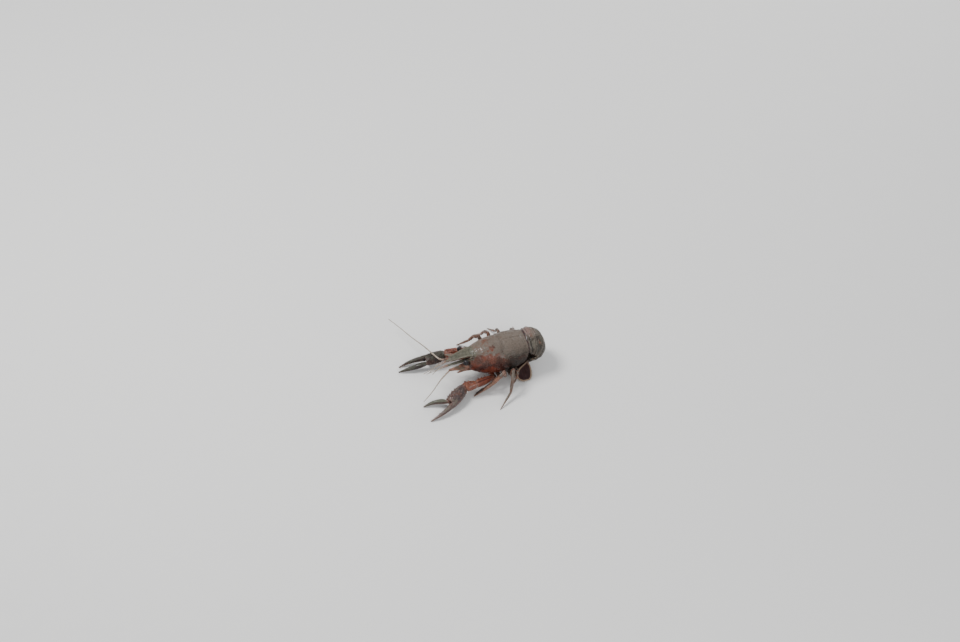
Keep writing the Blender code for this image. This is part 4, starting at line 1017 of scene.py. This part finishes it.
class CRAYFISH_OT_tail_fan(bpy.types.Operator):
    """Make the telson and the four side lobes, with ribs, pale rims and a fringe"""
    bl_idname = "crayfish.tail_fan"
    bl_label = "Tail fan"

    def execute(self, context):
        size, paint = sizes(), colours()
        finish = shell_finish(
            "fan_finish", paint.fan_maroon, paint.shell_red, paint.shell_dark_and_shade, 0.4, (),
            (("rib", paint.shell_dark_and_shade, 0.6), ("rim", paint.fan_edge, 0.95)),
            mud_cover=0.08, pit_size=0.6 * MM, wet=0.05, dull=0.20, shine=0.18)
        hair = plain_finish("fan_bristle_finish", paint.bristle, paint.fan_edge, 1.0 * MM, 0.6)
        root = end_points("abdomen_6", (0.0, 0.0, -1.0), 1.5 * MM).mean(axis=0)
        lobes = ["telson"] + [f"uropod_{side}_{part}" for side in SIDES for part in ("inner", "outer")]
        for number, node in enumerate(lobes):
            piece = refined(node, f"{node}_lobe", size.fan_cell, rounds=3)
            points, normals = surface(piece)
            facing = lobe_normal(points)
            run, reach = axis_of(node, root)
            side = np.cross(run, facing)
            across = (points - root) @ side
            along = (points - root) @ run / reach
            edge = np.abs(normals @ facing) < 0.4
            tree = KDTree(int(edge.sum()))
            for index in np.flatnonzero(edge):
                tree.insert(Vector(points[index]), int(index))
            tree.balance()
            gap = np.array([tree.find(place)[2] for place in points])
            rim = (1.0 - eased(0.55 * MM, 1.20 * MM, gap)) * eased(0.22, 0.5, along)
            rib = 0.5 + 0.5 * np.cos(across / RIB_PITCH * 2.0 * math.pi)
            rib *= eased(0.15, 0.4, along)
            pushed(piece, RIB_HEIGHT * rib * (1.0 - rim))
            muddied(piece, 0.15, depth=0.05 * MM)
            hollows(piece, 0.5 * MM, 0.07 * MM)
            write_mask(piece, "rim", rim)
            write_mask(piece, "rib", 1.0 - rib)
            finished(piece, finish, "fan", node)
            fringe = bristles_on(
                f"{node}_fringe", piece, edge & (along > 0.55), 0.30 * MM, size.bristle_length,
                20 + number, tuple(0.9 * run))
            finished(fringe, hair, "fan")
        return {"FINISHED"}


class CRAYFISH_OT_eyes(bpy.types.Operator):
    """Make the eye stalks and their glossy globes"""
    bl_idname = "crayfish.eyes"
    bl_label = "Eyes"

    def execute(self, context):
        size, paint = sizes(), colours()
        globe_finish = bpy.data.materials.new("eye_finish")
        globe_finish.use_nodes = True
        tree = globe_finish.node_tree
        shader = tree.nodes["Principled BSDF"]
        place = object_place(tree)
        clouds = stepped(tree, noise(tree, place, 0.8 * MM, 3.0), 0.35, 0.7)
        cornea = mixed(tree, clouds, paint.eye_dark, paint.eye_grey)
        skin = mixed(tree, clouds, paint.feeler_red, paint.shell_dark_and_shade)
        tree.links.new(mixed(tree, attribute(tree, "cornea"), skin, cornea), shader.inputs["Base Color"])
        shader.inputs["Roughness"].default_value = 0.5
        shader.inputs["Specular IOR Level"].default_value = 0.15
        shader.inputs["Coat Weight"].default_value = 0.28
        shader.inputs["Coat Roughness"].default_value = 0.04
        bump = add(tree, "ShaderNodeBump")
        bump.inputs["Strength"].default_value = 0.25
        bump.inputs["Distance"].default_value = 0.02 * MM
        tree.links.new(cells(tree, place, 0.11 * MM), bump.inputs["Height"])
        tree.links.new(bump.outputs["Normal"], shader.inputs["Normal"])
        stalk_finish = shell_finish(
            "eye_stalk_finish", paint.feeler_red, paint.mud_green, paint.shell_dark_and_shade, 0.6,
            mud_cover=0.6, pit_size=0.5 * MM, pit_depth=0.2)
        for side in SIDES:
            node = f"eye_{side}"
            root = meeting_middle(node, "carapace")
            run, reach = axis_of(node, root)
            points = node_points(node)
            ball = points[(points - root) @ run > reach - 2.2 * size.eye_radius * 0.8]
            table = np.hstack([2.0 * ball, np.ones((len(ball), 1))])
            middle = np.linalg.lstsq(table, np.sum(ball ** 2, axis=1), rcond=None)[0][:3]
            stalk = refined(node, f"eye_{side}_stalk", 0.12 * MM, rounds=8)
            muddied(stalk, 0.5, depth=0.06 * MM, green=0.5)
            hollows(stalk, 0.5 * MM, 0.07 * MM)
            finished(stalk, stalk_finish, "eye", node)
            bpy.ops.object.select_all(action="DESELECT")
            bpy.ops.mesh.primitive_uv_sphere_add(segments=64, ring_count=40, radius=size.eye_radius)
            globe = bpy.context.object
            globe.name = f"eye_{side}_globe"
            ball = points_of(globe)
            outward = ball @ run / size.eye_radius
            flatter = ball - np.outer(ball @ run, run) * 0.10
            move_points(globe, flatter + middle + run * 0.15 * MM)
            write_mask(globe, "cornea", eased(-0.38, -0.26, outward))
            finished(globe, globe_finish, "eye")
        return {"FINISHED"}


def ringed(piece, root, pitch, depth):
    """Fine rings round a whip, counted from its root."""
    far = np.linalg.norm(points_of(piece) - root, axis=1)
    wave = 0.5 + 0.5 * np.cos(2.0 * math.pi * far / pitch)
    pushed(piece, -depth * wave ** 3)
    write_mask(piece, "ring", wave ** 3)
    return far


class CRAYFISH_OT_feelers(bpy.types.Operator):
    """Make the feelers' ringed whips, jointed bases and scale leaves"""
    bl_idname = "crayfish.feelers"
    bl_label = "Feelers"

    def execute(self, context):
        size, paint = sizes(), colours()
        whip_finish = shell_finish(
            "whip_finish", paint.feeler_pale, paint.mud_brown, paint.feeler_red, 0.15, (),
            (("root", paint.claw_orange, 0.80), ("ring", paint.shell_red, 0.35)),
            mud_cover=0.9, pit_size=0.4 * MM, pit_depth=0.1, relief=0.04 * MM)
        base_finish = shell_finish(
            "feeler_base_finish", paint.leg_salmon, paint.feeler_red, paint.shell_red, 0.45,
            masks=(("rim", paint.skin, 0.6),), mud_cover=0.8, pit_size=0.6 * MM)
        hair = plain_finish("feeler_bristle_finish", paint.bristle, paint.fan_edge, 1.0 * MM, 0.6)
        for number, side in enumerate(SIDES):
            base = f"antenna_{side}_base"
            piece = refined(base, f"antenna_{side}_peduncle", 0.14 * MM, rounds=5)
            weathered(piece, (0.03, 0.9), 0.48, (0.7, 0.10), depth=0.08 * MM, green=0.6)
            write_mask(piece, "rim", nearness(piece, [f"antenna_{side}", "carapace"], 0.8 * MM))
            finished(piece, base_finish, "feeler", base)
            normals = normals_of(piece)
            inner = (np.abs(normals[:, 2]) < 0.5) & (normals[:, 0] < 0.3)
            fringe = bristles_on(
                f"antenna_{side}_fringe", piece, inner, 0.85 * MM, 0.9 * MM, 40 + number,
                (-1.0, 0.0, 0.0))
            finished(fringe, hair, "feeler")

            whip = f"antenna_{side}"
            root = meeting_middle(whip, base)
            piece = refined(whip, f"{whip}_whip", 0.10 * MM, rounds=2)
            far = ringed(piece, root, size.ring_pitch, 0.05 * MM)
            write_mask(piece, "root", 0.8 - 0.8 * eased(0.0, 5.0 * MM, far))
            finished(piece, whip_finish, "feeler", whip)

            small = f"antennule_{side}"
            root = meeting_middle(small, "carapace")
            piece = refined(small, f"{small}_whips", 0.10 * MM, rounds=3)
            far = ringed(piece, root, size.ring_pitch, 0.035 * MM)
            upward = normals_of(piece)[:, 2]
            stem = 1.0 - eased(12.5 * MM, 14.5 * MM, far)
            write_mask(piece, "root", 0.85 - 0.85 * eased(15.0 * MM, 20.0 * MM, far))
            write_mask(piece, "mud", stem * eased(-0.6, 0.2, upward))
            write_mask(piece, "mud_green", stem)
            finished(piece, whip_finish, "feeler", small)
        return {"FINISHED"}


class CRAYFISH_OT_mouthparts(bpy.types.Operator):
    """Make the pair of bristled outer jaws"""
    bl_idname = "crayfish.mouthparts"
    bl_label = "Mouthparts"

    def execute(self, context):
        paint = colours()
        finish = shell_finish(
            "jaw_finish", paint.leg_salmon, paint.leg_olive, paint.shell_red, 0.4,
            mud_cover=0.3, pit_size=0.6 * MM)
        hair = plain_finish("jaw_bristle_finish", paint.bristle, paint.leg_olive, 1.0 * MM, 0.6)
        for number, side in enumerate(SIDES):
            node = f"maxilliped_{side}"
            piece = refined(node, f"{node}_shell", 0.13 * MM, rounds=5)
            muddied(piece, 0.2, depth=0.04 * MM)
            hollows(piece, 0.7 * MM, 0.10 * MM)
            finished(piece, finish, "leg_shell", node)
            normals = normals_of(piece)
            inner = normals[:, 1] * (1.0 if side == "left" else -1.0) > 0.45
            fringe = bristles_on(f"{node}_fringe", piece, inner, 0.32 * MM, 1.4 * MM, 60 + number,
                                 (-0.7, 0.0, -0.4), 0.035 * MM)
            finished(fringe, hair, "leg_shell")
        return {"FINISHED"}


# How olive each pair of walking legs is, how muddy, and how dark at the tips, from the second pair.
LEG_OLIVE = {2: 0.6, 3: 0.3, 4: 1.0, 5: 0.8}
LEG_MUD = {2: 0.35, 3: 0.22, 4: 0.62, 5: 0.5}
LEG_TIP = {2: 0.8, 3: 0.2, 4: 0.55, 5: 1.0}


class CRAYFISH_OT_legs(bpy.types.Operator):
    """Make the eight walking legs"""
    bl_idname = "crayfish.legs"
    bl_label = "Walking legs"

    def execute(self, context):
        size, paint = sizes(), colours()
        finish = shell_finish(
            "leg_finish", paint.leg_salmon, paint.leg_olive, paint.shell_red, 0.42, (),
            (("top", paint.leg_olive, 0.7), ("tip", paint.leg_tip, 0.85),
             ("rim", paint.claw_orange, 0.5)),
            mud_cover=0.8, pit_size=0.55 * MM, relief=0.06 * MM)
        hair = plain_finish("leg_bristle_finish", paint.bristle, paint.leg_olive, 1.0 * MM, 0.6)
        for side in SIDES:
            for number in range(2, 6):
                upper, lower = f"leg_{side}_{number}_upper", f"leg_{side}_{number}_lower"
                knee = meeting_middle(lower, upper)
                run, reach = axis_of(lower, knee)
                for node, other in ((upper, lower), (lower, upper)):
                    piece = refined(node, f"{node}_shell", size.leg_cell, rounds=4)
                    weathered(piece, (0.025, 0.8), LEG_MUD[number], (1.25, 0.12),
                              depth=0.07 * MM, green=0.3)
                    points, normals = surface(piece)
                    olive = LEG_OLIVE[number] * (0.35 + 0.65 * eased(0.0, 0.8, normals[:, 2]))
                    write_mask(piece, "top", olive)
                    write_mask(piece, "rim", nearness(piece, [other], 0.9 * MM))
                    along = (points - knee) @ run / reach
                    tip = LEG_TIP[number] * eased(0.74, 0.92, along)
                    write_mask(piece, "tip", tip if node == lower else 0.0 * along)
                    finished(piece, finish, "leg_shell", node)
                    if node == lower:
                        low_part = (along > 0.45) & (along < 0.95) & (points[:, 2] > 0.4 * MM)
                        fringe = bristles_on(
                            f"leg_{side}_{number}_bristles", piece, low_part, 0.75 * MM, 0.75 * MM,
                            80 + number, tuple(1.1 * run), 0.03 * MM)
                        finished(fringe, hair, "leg_shell")
        return {"FINISHED"}


def teeth_between(name, fixed, moving, root, run, reach):
    """Rounded teeth on the facing edges of the two fingers."""
    made = []
    trees = []
    for piece in (fixed, moving):
        places = [v.co for v in piece.data.vertices]
        trees.append(BVHTree.FromPolygons(places, [p.vertices for p in piece.data.polygons]))
    for number, at in enumerate(np.linspace(0.12, 0.90, 13)):
        middles = [slice_middle(piece, root, run, at * reach) for piece in (fixed, moving)]
        if any(middle is None for middle in middles):
            continue
        halfway = 0.5 * (middles[0] + middles[1])
        for tree, middle in zip(trees, middles):
            aim = Vector(middle - halfway)
            hit = tree.ray_cast(Vector(halfway), aim.normalized())[0]
            if hit is None or aim.length < 0.4 * MM:
                continue
            big = 0.34 * MM if number % 3 == 1 else 0.22 * MM
            bpy.ops.object.select_all(action="DESELECT")
            bpy.ops.mesh.primitive_uv_sphere_add(segments=12, ring_count=8, radius=big, location=hit)
            tooth = bpy.context.object
            bpy.ops.object.transform_apply(location=True, rotation=True, scale=True)
            made.append(tooth)
    return joined(made, name)


def slice_middle(piece, root, run, at):
    """Middle of a piece's thin slice at a distance along a run, or None past its ends."""
    points = points_of(piece)
    near = points[np.abs((points - root) @ run - at) < 0.5 * MM]
    return near.mean(axis=0) if len(near) > 8 else None


def furrowed(piece, root, side):
    """A furrow along the upper outer face of an arm's long part, between its two ridges, with a mask for
    the shade painted into it.
    """
    points, normals = surface(piece)
    away = points - root
    run = away[np.argmax(np.linalg.norm(away, axis=1))]
    run = run / np.linalg.norm(run)
    facing = np.array((0.0, -0.45 if side == "left" else 0.45, 0.9))
    facing = facing - run * (facing @ run)
    facing = facing / np.linalg.norm(facing)
    aside = np.cross(run, facing)
    along = away @ run
    angle = np.arctan2(normals @ aside, normals @ facing)
    depth = np.exp(-(angle / 0.30) ** 2) * eased(1.5 * MM, 4.0 * MM, along)
    pushed(piece, -FURROW_DEPTH * 1.6 * depth)
    write_mask(piece, "furrow", depth)


# The parts of a claw arm up to the wrist: name, spacing of knobs in millimetres and level of mud.
ARM_PARTS = (("ischium", 2.4, 0.05), ("merus", 1.9, 0.12), ("carpus", 1.5, 0.22))


class CRAYFISH_OT_claws(bpy.types.Operator):
    """Make both claw arms with knobs, teeth and mud-capped fingers"""
    bl_idname = "crayfish.claws"
    bl_label = "Claws"

    def execute(self, context):
        size, paint = sizes(), colours()
        # The furrow mask darkens the merus furrow: painted shade in the furrow.
        arm_finish = shell_finish(
            "arm_finish", paint.claw_orange, paint.shell_orange, paint.shell_red, 0.5, (),
            (("knob", paint.claw_knob, 0.6), ("rim", paint.skin, 0.4),
             ("furrow", paint.shell_red, 0.6)), mud_cover=0.85, pit_size=0.8 * MM)
        palm_finish = shell_finish(
            "palm_finish", paint.claw_pink, paint.claw_violet, paint.shell_red, 0.5, (),
            (("knob", paint.claw_knob, 0.85), ("finger", paint.claw_violet, 0.6),
             ("tip", paint.tooth, 0.35), ("rim", paint.claw_orange, 0.8)),
            (("shade", paint.shell_dark_and_shade, 0.55),), mud_cover=0.95, pit_size=0.8 * MM,
            wet=0.42, shine=0.24)
        tooth_finish = plain_finish("tooth_finish", paint.tooth, paint.claw_pink, 0.8 * MM, 0.35, 0.4)
        for side in SIDES:
            before = "sternum"
            for part, spacing, level in ARM_PARTS:
                node = f"cheliped_{side}_{part}"
                piece = refined(node, f"{node}_shell", size.claw_cell)
                points, normals = surface(piece)
                seeds = scattered(points, normals[:, 2] > -0.2, spacing * MM, 11)
                raised(piece, seeds, 0.42 * MM, 0.5 * size.knob_height, 13, "knob")
                if part == "merus":
                    furrowed(piece, meeting_middle(node, before), side)
                weathered(piece, (0.06, 1.2), level, (0.8, 0.14))
                write_mask(piece, "rim", nearness(piece, [before], 0.8 * MM))
                finished(piece, arm_finish, "claw_shell", node)
                before = node
            claw, finger = f"cheliped_{side}_claw", f"cheliped_{side}_finger"
            wrist = meeting_middle(claw, f"cheliped_{side}_carpus")
            run, reach = axis_of(claw, wrist)
            fingers = []
            for node in (claw, finger):
                piece = refined(node, f"{node}_shell", size.claw_cell)
                points, normals = surface(piece)
                along = (points - wrist) @ run / reach
                if node == claw:
                    palm = (along < 0.50) & (along > 0.04) & (normals[:, 2] > -0.5)
                    seeds = scattered(points, palm, size.knob_spacing, 17)
                    raised(piece, seeds, 0.46 * MM, size.knob_height, 19, "knob")
                else:
                    top = (along < 0.72) & (normals[:, 2] > 0.0)
                    seeds = scattered(points, top, 1.4 * size.knob_spacing, 23)
                    raised(piece, seeds, 0.34 * MM, 0.5 * size.knob_height, 29, "knob")
                pits = scattered(points_of(piece), along > 0.5, 1.0 * MM, 31)
                raised(piece, pits, 0.22 * MM, -0.05 * MM, 37)
                capped = node == finger or side == "right"
                mud = 0.72 if node == finger else 0.55 if capped else 0.45
                weathered(piece, (0.07, 1.3), mud, (0.8, 0.14), green=0.8 if capped else 0.2)
                write_mask(piece, "finger", eased(0.42, 0.58, along))
                write_mask(piece, "shade", np.full(len(along), 0.0 if side == "left" else 1.0))
                write_mask(piece, "tip", eased(0.90, 0.99, along))
                write_mask(piece, "rim", nearness(piece, [f"cheliped_{side}_carpus"], 1.4 * MM))
                finished(piece, palm_finish, "claw_shell", node)
                fingers.append(piece)
            hinge = meeting_middle(finger, claw)
            finger_run, finger_reach = axis_of(finger, hinge)
            teeth = teeth_between(f"cheliped_{side}_teeth", fingers[0], fingers[1], hinge, finger_run,
                                  finger_reach)
            finished(teeth, tooth_finish, "claw_shell")
        return {"FINISHED"}


class CRAYFISH_OT_joint_skins(bpy.types.Operator):
    """Make the soft skin that shows between the shell parts"""
    bl_idname = "crayfish.joint_skins"
    bl_label = "Joint skins"

    def execute(self, context):
        paint = colours()
        finish = plain_finish("joint_skin_finish", paint.skin, paint.shell_red, 0.9 * MM, 0.38, 0.3)
        dark = plain_finish(
            "abdomen_skin_finish", paint.shell_red, paint.shell_dark_and_shade, 0.9 * MM, 0.38, 0.3)
        groups = {"claw": [], "leg": [], "head": [], "abdomen": []}
        for side in SIDES:
            parts = [part for part, _, _ in ARM_PARTS] + ["claw"]
            chain = ["sternum"] + [f"cheliped_{side}_{part}" for part in parts]
            for other, node in zip(chain, chain[1:]):
                groups["claw"].append((node, other, 0.95 * MM))
            groups["claw"].append((f"cheliped_{side}_finger", f"cheliped_{side}_claw", 0.8 * MM))
            for number in range(2, 6):
                upper, lower = f"leg_{side}_{number}_upper", f"leg_{side}_{number}_lower"
                groups["leg"] += [(upper, "sternum", 0.7 * MM), (lower, upper, 0.6 * MM)]
            groups["head"] += [
                (f"eye_{side}", "carapace", 0.7 * MM), (f"antennule_{side}", "carapace", 0.6 * MM),
                (f"antenna_{side}_base", "carapace", 0.8 * MM),
                (f"antenna_{side}", f"antenna_{side}_base", 0.5 * MM),
                (f"maxilliped_{side}", "sternum", 0.6 * MM),
            ]
            groups["abdomen"] += [(f"uropod_{side}_{part}", "abdomen_6", 0.6 * MM)
                                  for part in ("inner", "outer")]
        groups["abdomen"] += [(f"abdomen_{n + 1}", f"abdomen_{n}", 0.7 * MM) for n in range(1, 6)]
        groups["abdomen"].append(("telson", "abdomen_6", 0.6 * MM))
        for label, joints in groups.items():
            plugs = [joint_skin(f"{node}_skin", meeting_points(node, other), reach)
                     for node, other, reach in joints]
            if label == "abdomen":
                forward = Vector((-1.0, 0.0, 0.06)).normalized()
                ring = end_points("abdomen_1", forward)
                plugs.append(joint_skin("waist_skin", ring, 1.4 * MM))
            skins = joined(plugs, f"{label}_joint_skins")
            outward_again(skins)
            finished(skins, dark if label == "abdomen" else finish, None)
        return {"FINISHED"}


# Stage

CAMERA_AZIMUTH = math.radians(-20.0)
CAMERA_ELEVATION = math.radians(49.0)
CAMERA_DISTANCE = 2.0
SENSOR_WIDTH = 36.0
# Real width of the photo's frame at the animal, from 0.63 mm for each of its pixels.
FRAME_WIDTH = IMAGE_WIDTH * 0.63 * MM
# Where the middle of the frame lies from the middle of the animal's footprint, to the right and up.
FRAME_SHIFT = (6.2 * MM, 25.7 * MM)
SKY_COLOUR = (0.86, 0.90, 0.96, 1.0)
SKY_STRENGTH = 0.55
# Name, place, width and power in watts of each lamp. All of them face the middle of the floor.
LAMPS = (
    ("key", (-0.35, 0.25, 0.75), 0.35, 7.5),
    ("fill", (0.10, -0.70, 0.50), 0.60, 3.0),
    ("rim", (0.55, 0.45, 0.45), 0.40, 2.5),
)


class CRAYFISH_OT_stage(bpy.types.Operator):
    """Set up the pale floor, the soft studio light and the camera"""
    bl_idname = "crayfish.stage"
    bl_label = "Stage"

    def execute(self, context):
        scene = context.scene
        paint = colours()
        bpy.ops.object.select_all(action="DESELECT")
        bpy.ops.mesh.primitive_plane_add(size=12.0, location=(0.0, 0.0, 0.0))
        floor = context.object
        floor.name = "floor"
        floor.data.materials.append(plain_finish("floor_finish", paint.floor, paint.floor, 0.05, 0.75))
        floor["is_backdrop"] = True

        world = bpy.data.worlds.new("studio")
        world.use_nodes = True
        backdrop = world.node_tree.nodes["Background"]
        backdrop.inputs["Color"].default_value = SKY_COLOUR
        backdrop.inputs["Strength"].default_value = SKY_STRENGTH
        scene.world = world

        back = Vector((
            math.sin(CAMERA_AZIMUTH) * math.cos(CAMERA_ELEVATION),
            -math.cos(CAMERA_AZIMUTH) * math.cos(CAMERA_ELEVATION),
            math.sin(CAMERA_ELEVATION),
        ))
        right = Vector((math.cos(CAMERA_AZIMUTH), math.sin(CAMERA_AZIMUTH), 0.0))
        up = back.cross(right)
        for name, place, width, power in LAMPS:
            lamp = bpy.data.lights.new(name, "AREA")
            lamp.shape = "DISK"
            lamp.size = width
            lamp.energy = power
            holder = bpy.data.objects.new(name, lamp)
            holder.location = place
            holder.rotation_euler = Vector(place).to_track_quat("Z", "Y").to_euler()
            scene.collection.objects.link(holder)

        camera = bpy.data.objects.new("camera", bpy.data.cameras.new("camera"))
        camera.data.sensor_width = SENSOR_WIDTH
        camera.data.lens = SENSOR_WIDTH * CAMERA_DISTANCE / FRAME_WIDTH
        camera.data.clip_start, camera.data.clip_end = 0.05, 30.0
        target = right * FRAME_SHIFT[0] + up * FRAME_SHIFT[1]
        camera.location = target + back * CAMERA_DISTANCE
        camera.rotation_euler = Matrix((right, up, back)).transposed().to_euler()
        scene.collection.objects.link(camera)
        scene.camera = camera
        return {"FINISHED"}


OPERATORS = (
    CRAYFISH_OT_carapace, CRAYFISH_OT_sternum, CRAYFISH_OT_abdomen, CRAYFISH_OT_tail_fan,
    CRAYFISH_OT_eyes, CRAYFISH_OT_feelers, CRAYFISH_OT_mouthparts, CRAYFISH_OT_legs,
    CRAYFISH_OT_claws, CRAYFISH_OT_joint_skins, CRAYFISH_OT_stage,
)


class CRAYFISH_PT_panel(bpy.types.Panel):
    """Lists the crayfish's pieces, sizes and colours"""
    bl_idname = "CRAYFISH_PT_panel"
    bl_label = "Crayfish"
    bl_space_type = "VIEW_3D"
    bl_region_type = "UI"
    bl_category = "Crayfish"

    def draw(self, context):
        for group in (context.scene.crayfish_sizes, context.scene.crayfish_colours):
            box = self.layout.box()
            for label in group.__annotations__:
                box.prop(group, label)
        for operator in OPERATORS:
            self.layout.operator(operator.bl_idname)


CLASSES = (CrayfishSizes, CrayfishColours) + OPERATORS + (CRAYFISH_PT_panel,)


def register():
    for item in CLASSES:
        bpy.utils.register_class(item)
    bpy.types.Scene.crayfish_sizes = PointerProperty(type=CrayfishSizes)
    bpy.types.Scene.crayfish_colours = PointerProperty(type=CrayfishColours)


def unregister():
    del bpy.types.Scene.crayfish_colours
    del bpy.types.Scene.crayfish_sizes
    for item in reversed(CLASSES):
        bpy.utils.unregister_class(item)


def corners():
    return [list(corner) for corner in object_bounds()]


def main():
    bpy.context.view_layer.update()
    register()
    for operator in OPERATORS:
        family, name = operator.bl_idname.split(".")
        getattr(getattr(bpy.ops, family), name)()
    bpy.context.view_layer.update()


if __name__ == "__main__":
    main()
